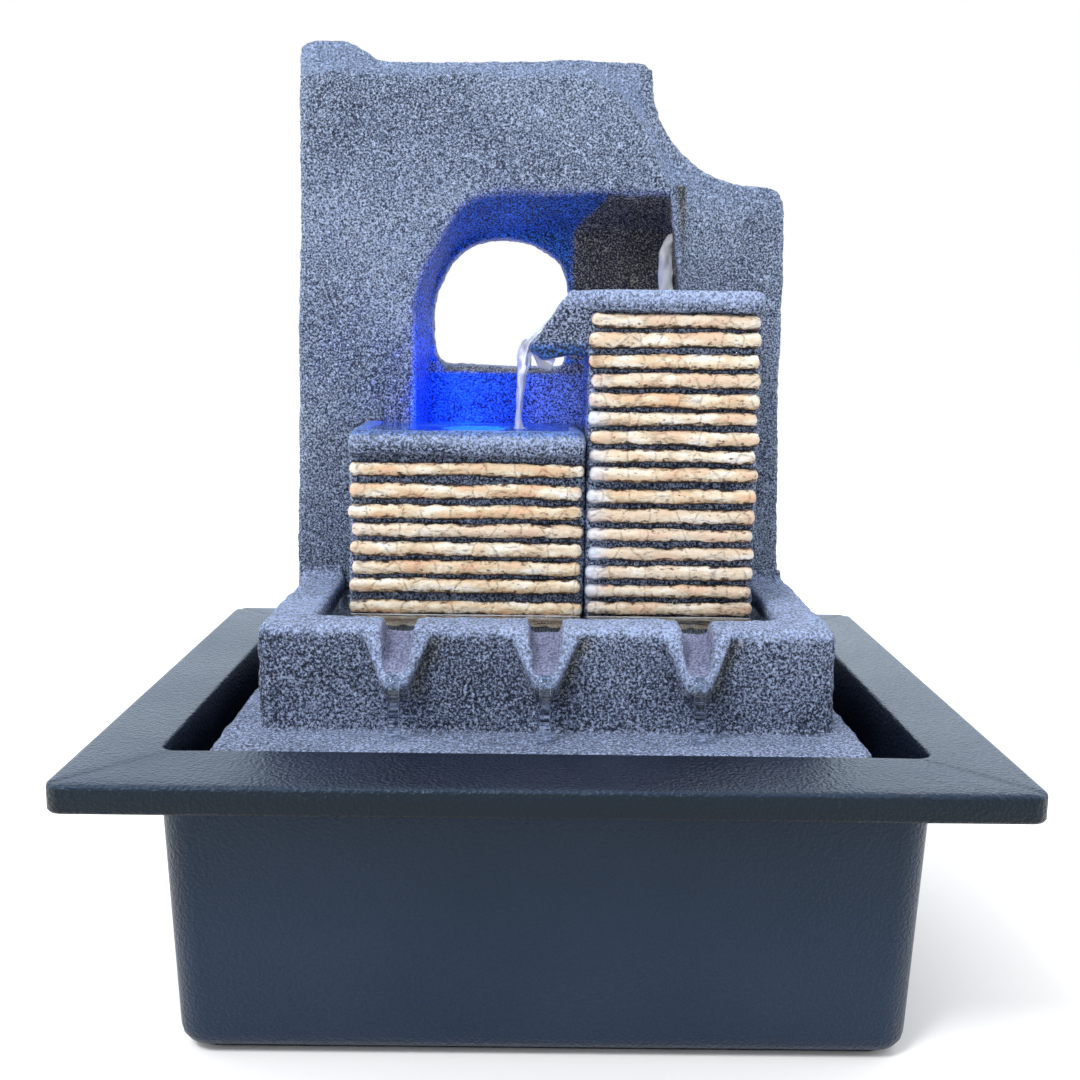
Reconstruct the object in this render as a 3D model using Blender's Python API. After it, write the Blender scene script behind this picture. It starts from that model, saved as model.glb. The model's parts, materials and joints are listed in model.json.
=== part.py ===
"""Tabletop water fountain, modelled as an assembly of separate pieces.

A plastic basin holds the water and a submersible pump. A cast stone-look sculpture stands in the basin:
a base with a trough and three pouring lips, two pillars faced with strips, and a rear wall with a niche.
Frame: X to the right, Y to the back, Z up, origin on the table under the middle of the basin, in metres.
"""

import math

import bmesh
import bpy
from mathutils import Matrix, Vector

MM = 0.001
GAP = 0.3 * MM                  # clearance between pieces that touch
MERGE = 0.001 * MM              # merge distance for welded seams

# Basin
RIM_LENGTH = 210.0 * MM
RIM_WIDTH = 175.0 * MM
RIM_TOP = 75.0 * MM
RIM_LIP = 6.8 * MM              # height of the turned-down edge
RIM_SKIN = 2.0 * MM
RIM_CORNER = 4.0 * MM
OPENING_LENGTH = 173.4 * MM
OPENING_WIDTH = 129.4 * MM
TUB_WALL = 2.0 * MM
TUB_DRAFT = 2.7 * MM            # how much each side draws in towards the bottom
TUB_BASE = 1.5 * MM             # underside of the tub, on its plinth
TUB_FLOOR = 3.5 * MM
PAD_X, PAD_Y, PAD_RADIUS = 70.0 * MM, 48.0 * MM, 6.0 * MM
CORD_X, CORD_Z, CORD_BORE = -50.0 * MM, 58.0 * MM, 3.6 * MM

# Sculpture
APRON_LEFT, APRON_RIGHT = -79.0 * MM, 76.5 * MM
APRON_DEPTH = 58.0 * MM         # half of the apron, front to back
APRON_BOTTOM, APRON_TOP = 66.0 * MM, 72.0 * MM
BASE_HALF = 70.0 * MM
BASE_FRONT, BASE_BACK = -40.5 * MM, 50.0 * MM
BASE_TOP = 98.4 * MM
TROUGH_FLOOR = 86.0 * MM
TROUGH_HALF = 58.0 * MM
TROUGH_FRONT = -29.0 * MM
TROUGH_BACK = 40.0 * MM
HOLLOW_HALF, HOLLOW_FRONT, HOLLOW_BACK = 53.5 * MM, -30.0 * MM, 44.0 * MM
HOLLOW_TOP = 80.0 * MM
LIP_PLACES = (-36.2 * MM, -0.5 * MM, 36.1 * MM)
LEG_X, LEG_FRONT, LEG_REAR, LEG_HALF = 60.0 * MM, -32.0 * MM, 44.0 * MM, 6.0 * MM
WALL_FRONT, WALL_BACK = 22.0 * MM, 47.0 * MM
WALL_LEFT, WALL_RIGHT = -71.3 * MM, 67.0 * MM
NICHE_BACK = 36.0 * MM
PILLAR_FRONT, STRIP_GAP_DEPTH = -15.5 * MM, 2.6 * MM
PILLAR_BACK = WALL_FRONT - GAP
LOW_LEFT, LOW_RIGHT, LOW_TOP = -51.3 * MM, 9.3 * MM, 143.4 * MM
LOW_STRIPS, LOW_PITCH, LOW_CAP = 9, 5.05 * MM, 7.0 * MM
TALL_LEFT, TALL_RIGHT, TALL_TOP = 9.9 * MM, 53.6 * MM, 179.3 * MM
TALL_STRIPS, TALL_PITCH, TALL_CAP = 17, 4.9 * MM, 5.5 * MM
HOLLOW_FLOOR = 80.0 * MM        # where the cutters of the pillars' hollows start
POOL_HEIGHT = 10.0 * MM         # how far the pools' cutters reach over their floors

# Water path and wiring
HOSE_X, HOSE_Y = 46.0 * MM, 31.0 * MM
HOSE_OUTER, HOSE_INNER = 5.5 * MM, 4.3 * MM
NOZZLE_OUTER, NOZZLE_INNER = 4.0 * MM, 2.8 * MM
OUTLET_Z = 195.0 * MM
ELBOW_RADIUS = 8.0 * MM
LED_X, LED_Y = -20.0 * MM, 6.0 * MM
LEAD_X, LEAD_Y = -12.0 * MM, 8.0 * MM
LEAD_RADIUS = 1.2 * MM
POOL_FLOOR, TALL_FLOOR = 134.0 * MM, 174.0 * MM
COVER_LEFT, COVER_RIGHT, COVER_BOTTOM, COVER_TOP = 33.0 * MM, 59.0 * MM, 88.0 * MM, 203.0 * MM
COVER_SKIN = 2.5 * MM

# Pump, with its shaft along X
PUMP_Y, PUMP_Z = 18.0 * MM, 24.0 * MM
PUMP_HALF = 15.0 * MM
HOUSING_REAR, HOUSING_FRONT = 1.0 * MM, 35.0 * MM
VOLUTE_FRONT = 45.0 * MM
STRAINER_FRONT = 57.0 * MM
WELL_RADIUS = 7.0 * MM
SHAFT_RADIUS = 1.0 * MM
NOZZLE_X, NOZZLE_Y, NOZZLE_TOP = 40.6 * MM, 24.0 * MM, 52.0 * MM
SOCKET_X, SOCKET_Y = 9.0 * MM, 12.0 * MM
DIAL_HOLES = 6

STONE = ((0.21, 0.24, 0.31), 0.85, 0.0)
STRIP_STONE = ((0.62, 0.46, 0.32), 0.8, 0.0)
BLACK_PLASTIC = ((0.025, 0.03, 0.038), 0.4, 0.0)
PUMP_PLASTIC = ((0.02, 0.02, 0.022), 0.45, 0.0)
RUBBER = ((0.03, 0.03, 0.03), 0.7, 0.0)
STEEL = ((0.6, 0.6, 0.62), 0.3, 1.0)
LAMINATION = ((0.3, 0.3, 0.32), 0.45, 1.0)
COPPER = ((0.6, 0.25, 0.1), 0.35, 1.0)
EPOXY = ((0.03, 0.03, 0.035), 0.3, 0.0)
MAGNET = ((0.06, 0.06, 0.065), 0.5, 0.0)
CERAMIC = ((0.85, 0.85, 0.82), 0.25, 0.0)
CLEAR = ((0.75, 0.85, 1.0), 0.1, 0.0)
HOSE_PVC = ((0.7, 0.75, 0.75), 0.3, 0.0)
BOARD = ((0.02, 0.2, 0.08), 0.5, 0.0)


def clear_scene():
    """Remove the scene's objects and make the collections for the parts and for the cutters."""
    for item in list(bpy.data.objects):
        bpy.data.objects.remove(item)
    for title in ("water_fountain", "cutters"):
        bpy.context.scene.collection.children.link(bpy.data.collections.new(title))


def collection(title):
    return bpy.context.scene.collection.children[title]


def new_piece(name, shape, location=(0, 0, 0)):
    """An object for a mesh or a bmesh, in the collection of parts."""
    if isinstance(shape, bmesh.types.BMesh):
        bmesh.ops.recalc_face_normals(shape, faces=shape.faces)
        mesh = bpy.data.meshes.new(name)
        shape.to_mesh(mesh)
        shape.free()
    else:
        mesh = shape
    piece = bpy.data.objects.new(name, mesh)
    piece.location = location
    collection("water_fountain").objects.link(piece)
    return piece


def smooth(piece, angle=40):
    piece.data.shade_smooth()
    piece.data.set_sharp_from_angle(angle=math.radians(angle))
    return piece


def finish(piece, look):
    """Give a piece its own material."""
    colour, roughness, metallic = look
    material = bpy.data.materials.new(piece.name)
    material.use_nodes = True
    shader = material.node_tree.nodes["Principled BSDF"]
    shader.inputs["Base Color"].default_value = (*colour, 1.0)
    shader.inputs["Roughness"].default_value = roughness
    shader.inputs["Metallic"].default_value = metallic
    piece.data.materials.clear()
    piece.data.materials.append(material)
    return piece


def bevel(shape, edges, radius, steps):
    bmesh.ops.bevel(shape, geom=edges, offset=radius, segments=steps, profile=0.5, affect="EDGES")


def block(name, low, high, upright=0.0, top=0.0, bottom=0.0, taper=0.0, steps=3):
    """A box between two corners, with rounded edges, and with sides that draw in by taper at the bottom."""
    low, high = Vector(low), Vector(high)
    size = high - low
    shape = bmesh.new()
    bmesh.ops.create_cube(shape, size=1.0)
    bmesh.ops.scale(shape, vec=size, verts=shape.verts)
    for vert in shape.verts:
        if vert.co.z < 0:
            vert.co.x -= math.copysign(taper, vert.co.x)
            vert.co.y -= math.copysign(taper, vert.co.y)
    if upright:
        bevel(shape, [e for e in shape.edges if e.verts[0].co.z * e.verts[1].co.z < 0], upright, steps)
    for radius, level in ((top, size.z / 2), (bottom, -size.z / 2)):
        if radius:
            ring = [e for e in shape.edges if all(abs(v.co.z - level) < MERGE for v in e.verts)]
            bevel(shape, ring, radius, steps)
    return new_piece(name, shape, (low + high) / 2)


def rod(name, radius, start, end, end_radius=None, sides=24):
    """A cylinder or a cone between two points."""
    start, end = Vector(start), Vector(end)
    shape = bmesh.new()
    bmesh.ops.create_cone(shape, cap_ends=True, segments=sides, radius1=radius,
                          radius2=radius if end_radius is None else end_radius, depth=(end - start).length)
    piece = new_piece(name, shape, (start + end) / 2)
    piece.rotation_mode = "QUATERNION"
    piece.rotation_quaternion = (end - start).to_track_quat("Z", "Y")
    return smooth(piece)


def turned(name, profile, location, sides=24, along="Z"):
    """A closed profile of (radius, height) points turned about its axis, which then lies along Z or X."""
    shape = bmesh.new()
    verts = [shape.verts.new((radius, 0.0, height)) for radius, height in profile]
    edges = [shape.edges.new((verts[i], verts[(i + 1) % len(verts)])) for i in range(len(verts))]
    on_axis = [e for e in edges if all(abs(v.co.x) < MERGE for v in e.verts)]
    for edge in on_axis:
        shape.edges.remove(edge)
    bmesh.ops.spin(shape, geom=list(shape.verts) + list(shape.edges), cent=(0, 0, 0), axis=(0, 0, 1),
                   angle=math.tau, steps=sides, use_merge=True)
    bmesh.ops.remove_doubles(shape, verts=shape.verts, dist=MERGE)
    piece = new_piece(name, shape, location)
    if along == "X":
        piece.rotation_euler = (0, math.radians(90), 0)
    return smooth(piece)


def sleeve(name, inner, outer, location, length, sides=24, along="Z"):
    """A plain ring or sleeve that starts at location."""
    profile = [(inner, 0), (outer, 0), (outer, length), (inner, length)]
    return turned(name, profile, location, sides, along)


def hull(name, points):
    """The smallest convex solid round some points."""
    shape = bmesh.new()
    for point in points:
        shape.verts.new(point)
    bmesh.ops.convex_hull(shape, input=shape.verts)
    return new_piece(name, shape)


def curve_to_piece(name, curve, location=(0, 0, 0), rotation=(0, 0, 0)):
    """Turn curve data into a welded mesh piece at the given place."""
    holder = bpy.data.objects.new(name, curve)
    collection("water_fountain").objects.link(holder)
    evaluated = holder.evaluated_get(bpy.context.evaluated_depsgraph_get())
    mesh = bpy.data.meshes.new_from_object(evaluated)
    bpy.data.objects.remove(holder)
    shape = bmesh.new()
    shape.from_mesh(mesh)
    bmesh.ops.remove_doubles(shape, verts=shape.verts, dist=MERGE)
    piece = new_piece(name, shape, location)
    piece.rotation_euler = rotation
    return piece


def outline(name, points, plane, low, high):
    """A flat outline in the XZ or YZ plane, as thick as low to high along the third axis."""
    curve = bpy.data.curves.new(name, "CURVE")
    curve.dimensions = "2D"
    curve.fill_mode = "BOTH"
    curve.extrude = (high - low) / 2
    spline = curve.splines.new("POLY")
    spline.points.add(len(points) - 1)
    for point, (across, up) in zip(spline.points, points):
        point.co = (across, up, 0.0, 1.0)
    spline.use_cyclic_u = True
    middle = (low + high) / 2
    if plane == "XZ":
        return curve_to_piece(name, curve, (0, middle, 0), (math.pi / 2, 0, 0))
    return curve_to_piece(name, curve, (middle, 0, 0), (math.pi / 2, 0, math.pi / 2))


def smooth_route(points, spacing):
    """Points read from a smooth curve through a few route points, about spacing apart."""
    points = [Vector(p) for p in points]
    padded = [2 * points[0] - points[1]] + points + [2 * points[-1] - points[-2]]
    route = []
    for before, start, end, after in zip(padded, padded[1:], padded[2:], padded[3:]):
        count = max(1, round((end - start).length / spacing))
        for step in range(count):
            t = step / count
            route.append(0.5 * (2 * start + (end - before) * t
                                + (2 * before - 5 * start + 4 * end - after) * t * t
                                + (3 * start - before - 3 * end + after) * t ** 3))
    route.append(points[-1])
    return route


def tube(name, route, radius, resolution=3):
    """A round tube with filled ends along a list of points."""
    curve = bpy.data.curves.new(name, "CURVE")
    curve.dimensions = "3D"
    curve.bevel_depth = radius
    curve.bevel_resolution = resolution
    curve.use_fill_caps = True
    spline = curve.splines.new("POLY")
    spline.points.add(len(route) - 1)
    for point, place in zip(spline.points, route):
        point.co = (*place, 1.0)
    return smooth(curve_to_piece(name, curve))


def combine(piece, operation, tools):
    for tool in tools:
        modifier = piece.modifiers.new(tool.name, "BOOLEAN")
        modifier.operation = operation
        modifier.solver = "EXACT"
        modifier.object = tool
        tool.hide_render = True
        tool.display_type = "WIRE"
        if tool.name in collection("water_fountain").objects:
            collection("water_fountain").objects.unlink(tool)
            collection("cutters").objects.link(tool)
    return piece


def cut(piece, *tools):
    return combine(piece, "DIFFERENCE", tools)


def join(piece, *tools):
    return combine(piece, "UNION", tools)


def arc(centre, radius, start, end, steps):
    """Points on an arc in a plane, from start to end in degrees."""
    points = []
    for step in range(steps + 1):
        angle = math.radians(start + (end - start) * step / steps)
        points.append((centre[0] + radius * math.cos(angle), centre[1] + radius * math.sin(angle)))
    return points


def centred(half_x, half_y, z_low, z_high):
    """The two corners of a box centred on the frame's Z axis."""
    return (-half_x, -half_y, z_low), (half_x, half_y, z_high)


# Basin

def make_basin():
    """The tub, its turned-down rim and its low plinth, in one moulding."""
    inner_x, inner_y = OPENING_LENGTH / 2, OPENING_WIDTH / 2
    tub = block("basin_tub", *centred(inner_x + TUB_WALL, inner_y + TUB_WALL, TUB_BASE, RIM_TOP - 1.0 * MM),
                upright=8.0 * MM, bottom=4.0 * MM, taper=TUB_DRAFT)
    rim = block("rim_plate", *centred(RIM_LENGTH / 2, RIM_WIDTH / 2, RIM_TOP - RIM_LIP, RIM_TOP),
                upright=RIM_CORNER, top=1.0 * MM)
    skin_x, skin_y = RIM_LENGTH / 2 - RIM_SKIN, RIM_WIDTH / 2 - RIM_SKIN
    cut(rim, block("rim_underside", *centred(skin_x, skin_y, RIM_TOP - 2 * RIM_LIP, RIM_TOP - RIM_SKIN),
                   upright=RIM_CORNER - RIM_SKIN))
    plinth = block("plinth", *centred(82.5 * MM, 60.0 * MM, 0.5 * MM, TUB_BASE + 1.0 * MM), upright=7.0 * MM)
    ease = 0.2 * MM
    cavity = block("tub_cavity", *centred(inner_x + ease, inner_y + ease, TUB_FLOOR, RIM_TOP + RIM_LIP),
                   upright=6.0 * MM, bottom=3.0 * MM, taper=TUB_DRAFT)
    join(tub, rim, plinth)
    cut(tub, cavity, rod("cord_hole", 6.0 * MM, (CORD_X, 55.0 * MM, CORD_Z), (CORD_X, 75.0 * MM, CORD_Z)))
    for x in (-PAD_X, PAD_X):
        for y in (-PAD_Y, PAD_Y):
            cut(tub, rod("pad_pocket", PAD_RADIUS + GAP, (x, y, -1.0 * MM), (x, y, 1.6 * MM)))
    return finish(smooth(tub, 30), BLACK_PLASTIC)


def make_pads():
    places = [(x, y) for y in (-PAD_Y, PAD_Y) for x in (-PAD_X, PAD_X)]
    for number, (x, y) in enumerate(places, 1):
        pad = rod(f"foot_pad_{number}", PAD_RADIUS, (x, y, 0.0), (x, y, 1.3 * MM))
        finish(pad, RUBBER)


def make_grommet():
    """The rubber ring that lines the cord's way out through the tub's rear wall."""
    profile = [(CORD_BORE, 0), (8.0 * MM, 0), (8.0 * MM, 1.5 * MM), (5.6 * MM, 1.5 * MM),
               (5.6 * MM, 4.9 * MM), (8.0 * MM, 4.9 * MM), (8.0 * MM, 6.4 * MM), (CORD_BORE, 6.4 * MM)]
    ring = turned("cord_grommet", profile, (CORD_X, 61.9 * MM, CORD_Z), 24)
    ring.rotation_euler = (-math.pi / 2, 0, 0)
    return finish(ring, RUBBER)


# Sculpture castings

# Half of a pouring lip's corners, and half of its channel's: (half width, y, z), in millimetres
BEAK = ((8.2, -36.0, 97.6), (8.2, -41.2, 96.8), (3.0, -47.5, 87.2), (2.2, -46.6, 84.0), (2.6, -40.0, 79.5),
        (2.6, -36.0, 79.5))
CHANNEL = ((4.1, -26.0, 102.0), (3.8, -26.0, 96.2), (4.1, -41.5, 102.0), (3.4, -42.0, 90.2), (2.0, -49.0, 90.0),
           (1.4, -49.0, 86.8))


def lip_shape(name, x, corners):
    """A solid that is alike to both sides of a pouring lip."""
    return hull(name, [(x + side * across * MM, y * MM, z * MM)
                       for side in (-1, 1) for across, y, z in corners])


def wall_fillet(name, low, high):
    """The concave sweep between the trough's side wall and the rear wall."""
    radius, root = 7.0 * MM, BASE_TOP - 4.0 * MM
    front = PILLAR_BACK - radius - 1.0 * MM
    sweep = arc((front, BASE_TOP + radius), radius, -90, 0, 6)
    ends = [(PILLAR_BACK, root), (PILLAR_BACK, BASE_TOP + radius)]
    return outline(name, ends + sweep[::-1] + [(front, root)], "YZ", low, high)


def make_base():
    """The apron, trough, pouring lips and legs, in one casting."""
    base = block("base_trough", (-BASE_HALF, BASE_FRONT, APRON_BOTTOM + 1.0 * MM),
                 (BASE_HALF, BASE_BACK, BASE_TOP), upright=4.0 * MM, top=3.5 * MM)
    apron = block("apron", (APRON_LEFT, -APRON_DEPTH, APRON_BOTTOM), (APRON_RIGHT, APRON_DEPTH, APRON_TOP),
                  upright=6.0 * MM, top=1.5 * MM)
    join(base, apron)
    join(base, *[lip_shape("beak", x, BEAK) for x in LIP_PLACES])
    seat = block("wall_seat", (-80.0 * MM, PILLAR_BACK, TROUGH_FLOOR), (80.0 * MM, 60.0 * MM, 120.0 * MM))
    trough = block("trough", (-TROUGH_HALF, TROUGH_FRONT, TROUGH_FLOOR),
                   (TROUGH_HALF, TROUGH_BACK, 110.0 * MM), upright=4.0 * MM)
    underside = block("underside", (-HOLLOW_HALF, HOLLOW_FRONT, 60.0 * MM),
                      (HOLLOW_HALF, HOLLOW_BACK, HOLLOW_TOP))
    cut(base, seat, trough, underside, *[lip_shape("channel", x, CHANNEL) for x in LIP_PLACES])
    join(base, wall_fillet("left_fillet", -BASE_HALF, -TROUGH_HALF - GAP),
         wall_fillet("right_fillet", TROUGH_HALF + GAP, WALL_RIGHT))
    for x in (-LEG_X, LEG_X):
        for y in (LEG_FRONT, LEG_REAR):
            low = (x - LEG_HALF, y - LEG_HALF, TUB_FLOOR + GAP)
            join(base, block("leg", low, (x + LEG_HALF, y + LEG_HALF, APRON_TOP - 2.0 * MM)))
    under, over = HOLLOW_TOP - 5.0 * MM, TROUGH_FLOOR + 4.0 * MM
    cut(base, rod("hose_hole", HOSE_OUTER + 1.0 * MM, (HOSE_X, HOSE_Y, under), (HOSE_X, HOSE_Y, over)),
        rod("lead_hole", 3.0 * MM, (LEAD_X, LEAD_Y, under), (LEAD_X, LEAD_Y, over)))
    return finish(base, STONE)


def wall_outline():
    """The rear wall from the front, anticlockwise from its lower left corner, in metres."""
    raised_corner = [(-65.0, 246.3), (-56.5, 245.8), (-52.6, 244.2), (-48.9, 241.6), (-46.0, 240.8)]
    flat_top = [(24.6, 241.6), (26.9, 239.8)]
    sweep = arc((57.2, 239.4), 30.4, 190, 262, 8)
    tower = [(60.6, 208.6), (63.4, 207.0), (64.4, 203.5), (65.2, 150.0), (66.8, 106.0)]
    points = tower[::-1] + sweep[::-1] + flat_top[::-1] + raised_corner[::-1]
    points += [(-68.2, 244.5), (-68.8, 200.0), (-70.0, 150.0), (-71.1, 106.0)]
    foot = TROUGH_FLOOR + GAP
    return [(WALL_LEFT, foot), (WALL_RIGHT, foot)] + [(x * MM, z * MM) for x, z in points]


def niche_outline():
    """The niche from the front: square to the right, and swept round its upper left corner."""
    points = [(-38.0, 141.0), (36.4, 141.0), (36.4, 181.0), (33.4, 207.5), (-14.8, 207.5), (-20.0, 206.6),
              (-25.6, 202.7), (-31.0, 193.2), (-35.4, 185.0), (-37.8, 177.0)]
    return [(x * MM, z * MM) for x, z in points]


def hole_outline():
    """The arched hole through the niche's back panel."""
    arch = [(5.8, 182.0), (5.0, 186.0), (3.1, 189.0), (-0.2, 191.4), (-4.2, 193.2), (-8.2, 194.6),
            (-14.0, 195.2), (-21.0, 194.0), (-26.8, 190.6), (-30.8, 185.0), (-33.4, 178.0), (-34.3, 170.6),
            (-33.4, 161.5)]
    points = [(-31.0, 158.8), (3.4, 158.2), (5.4, 160.5)] + arch
    return [(x * MM, z * MM) for x, z in points]


def make_wall():
    """The rear wall with its niche, through hole and rear hose channel."""
    wall = outline("rear_wall", wall_outline(), "XZ", WALL_FRONT, WALL_BACK)
    niche = outline("niche", niche_outline(), "XZ", WALL_FRONT - 10.0 * MM, NICHE_BACK)
    hole = outline("through_hole", hole_outline(), "XZ", NICHE_BACK - 5.0 * MM, WALL_BACK + 5.0 * MM)
    room = HOSE_OUTER + 1.0 * MM
    channel = block("hose_channel", (HOSE_X - room, HOSE_Y - room, HOLLOW_TOP),
                    (HOSE_X + room, WALL_BACK + 5.0 * MM, OUTLET_Z + 7.0 * MM))
    outlet = rod("outlet_hole", NOZZLE_OUTER + 0.5 * MM, (30.0 * MM, HOSE_Y, OUTLET_Z),
                 (HOSE_X, HOSE_Y, OUTLET_Z))
    cut(wall, niche, hole, channel, outlet)
    for x, z in screw_places():
        cut(wall, rod("screw_hole", 1.5 * MM, (x, WALL_BACK - 9.0 * MM, z), (x, WALL_BACK + 5.0 * MM, z),
                      sides=12))
    return finish(wall, STONE)


def pillar_outline(top, cap, strips, pitch):
    """A pillar from the side: strips one above the other up its front, and a cap over them."""
    gap_y = PILLAR_FRONT + STRIP_GAP_DEPTH
    cap_bottom = top - cap
    first = cap_bottom - strips * pitch
    foot = TROUGH_FLOOR + GAP
    points = [(PILLAR_BACK, foot), (gap_y, foot)]
    for number in range(strips):
        middle = first + (number + 0.5) * pitch
        for angle in (-80, -40, 0, 40, 80):
            turn = math.radians(angle)
            points.append((gap_y - STRIP_GAP_DEPTH * math.cos(turn), middle + 0.46 * pitch * math.sin(turn)))
    points += [(PILLAR_FRONT - 0.8 * MM, cap_bottom), (PILLAR_FRONT - 1.2 * MM, top - 1.5 * MM),
               (PILLAR_FRONT + 0.5 * MM, top), (PILLAR_BACK, top)]
    return points


def make_low_pillar():
    """The lower pillar: a hollow casting with a shallow pool on top."""
    side = pillar_outline(LOW_TOP, LOW_CAP, LOW_STRIPS, LOW_PITCH)
    pillar = outline("low_pillar", side, "YZ", LOW_LEFT, LOW_RIGHT)
    under, over = POOL_FLOOR - 14.0 * MM, POOL_FLOOR + POOL_HEIGHT
    cut(pillar, block("low_hollow", (-45.0 * MM, -8.0 * MM, HOLLOW_FLOOR), (3.0 * MM, 15.0 * MM, 128.0 * MM)),
        block("low_pool", (-46.5 * MM, -11.0 * MM, POOL_FLOOR), (5.0 * MM, 18.0 * MM, over),
              upright=5.0 * MM),
        rod("led_hole", 9.4 * MM, (LED_X, LED_Y, under), (LED_X, LED_Y, over)))
    return finish(pillar, STRIP_STONE)


def make_tall_pillar():
    """The taller pillar: a hollow casting with a basin on top and a chute that pours to the left."""
    side = pillar_outline(TALL_TOP, TALL_CAP, TALL_STRIPS, TALL_PITCH)
    pillar = outline("tall_pillar", side, "YZ", TALL_LEFT, TALL_RIGHT)
    spout = [(12.0, 179.0), (5.2, 179.0), (2.7, 175.9), (-2.6, 168.2), (-4.8, 165.5), (-4.4, 163.5),
             (-1.7, 161.4), (4.0, 163.0), (12.0, 163.0)]
    join(pillar, outline("chute", [(x * MM, z * MM) for x, z in spout], "XZ", -13.0 * MM, 16.0 * MM))
    run = [(16.0, 174.0), (16.0, 190.0), (5.0, 173.4), (-8.0, 163.0), (-8.0, 190.0)]
    channel = hull("chute_channel", [(x * MM, y * MM, z * MM) for y in (-7.5, 9.0) for x, z in run])
    basin = block("tall_basin", (14.0 * MM, -11.0 * MM, TALL_FLOOR),
                  (49.5 * MM, 18.0 * MM, TALL_FLOOR + POOL_HEIGHT), upright=4.0 * MM)
    cut(pillar, channel, basin,
        block("tall_hollow", (16.0 * MM, -8.0 * MM, HOLLOW_FLOOR), (47.5 * MM, 15.0 * MM, 167.0 * MM)))
    return finish(pillar, STRIP_STONE)


# Rear cover

def screw_places():
    return [(x * MM, z * MM) for z in (94.0, 197.0) for x in (36.2, 55.8)]


def make_rear_cover():
    """The plate that closes the hose channel, and its screws."""
    back = WALL_BACK + GAP + COVER_SKIN
    cover = block("rear_cover", (COVER_LEFT, WALL_BACK + GAP, COVER_BOTTOM), (COVER_RIGHT, back, COVER_TOP))
    thread, head, length, height = 1.2 * MM, 2.8 * MM, 11.5 * MM, 1.8 * MM
    for number, (x, z) in enumerate(screw_places(), 1):
        cut(cover, rod("cover_hole", 1.6 * MM, (x, WALL_BACK - 3.0 * MM, z), (x, back + 5.0 * MM, z),
                       sides=12))
        profile = [(0, 0), (thread, 0), (thread, length), (head, length), (head * 0.8, length + height),
                   (0, length + height)]
        screw = turned(f"cover_screw_{number}", profile, (x, back + GAP - length, z), 16)
        screw.rotation_euler = (-math.pi / 2, 0, 0)
        finish(screw, STEEL)
    return finish(cover, BLACK_PLASTIC)


# Water path

def make_hose():
    """The delivery hose, from over the pump's nozzle up the wall's channel to the outlet elbow."""
    on_nozzle = [(NOZZLE_X, NOZZLE_Y, NOZZLE_TOP + rise * MM) for rise in (-9.0, 0.5, 4.0)]
    crossing = ((NOZZLE_X + HOSE_X) / 2, (NOZZLE_Y + HOSE_Y) / 2, 67.0 * MM)
    in_wall = [(HOSE_X, HOSE_Y, 79.0 * MM), (HOSE_X, HOSE_Y, 92.0 * MM)]
    route = smooth_route(on_nozzle + [crossing] + in_wall, 4.0 * MM)
    top = OUTLET_Z - ELBOW_RADIUS - 2.0 * MM
    route += [Vector((HOSE_X, HOSE_Y, z)) for z in (115.0 * MM, 140.0 * MM, 165.0 * MM, top)]
    hose = tube("delivery_hose", route, HOSE_OUTER)
    over = Vector((0, 0, 3.0 * MM))
    cut(hose, tube("hose_bore", [route[0] - over] + route + [route[-1] + over], HOSE_INNER))
    return finish(hose, HOSE_PVC)


def make_elbow():
    """The outlet elbow: up out of the hose, then left into the niche."""
    start = OUTLET_Z - ELBOW_RADIUS - 12.0 * MM
    bend = arc((HOSE_X - ELBOW_RADIUS, OUTLET_Z - ELBOW_RADIUS), ELBOW_RADIUS, 0, 90, 6)
    route = [Vector((HOSE_X, HOSE_Y, start))] + [Vector((x, HOSE_Y, z)) for x, z in bend]
    route.append(Vector((36.3 * MM, HOSE_Y, OUTLET_Z)))
    elbow = tube("outlet_elbow", route, NOZZLE_OUTER)
    inside = [route[0] - Vector((0, 0, 3.0 * MM))] + route + [route[-1] - Vector((3.0 * MM, 0, 0))]
    cut(elbow, tube("elbow_bore", inside, NOZZLE_INNER))
    return finish(elbow, BLACK_PLASTIC)


# Light

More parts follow.
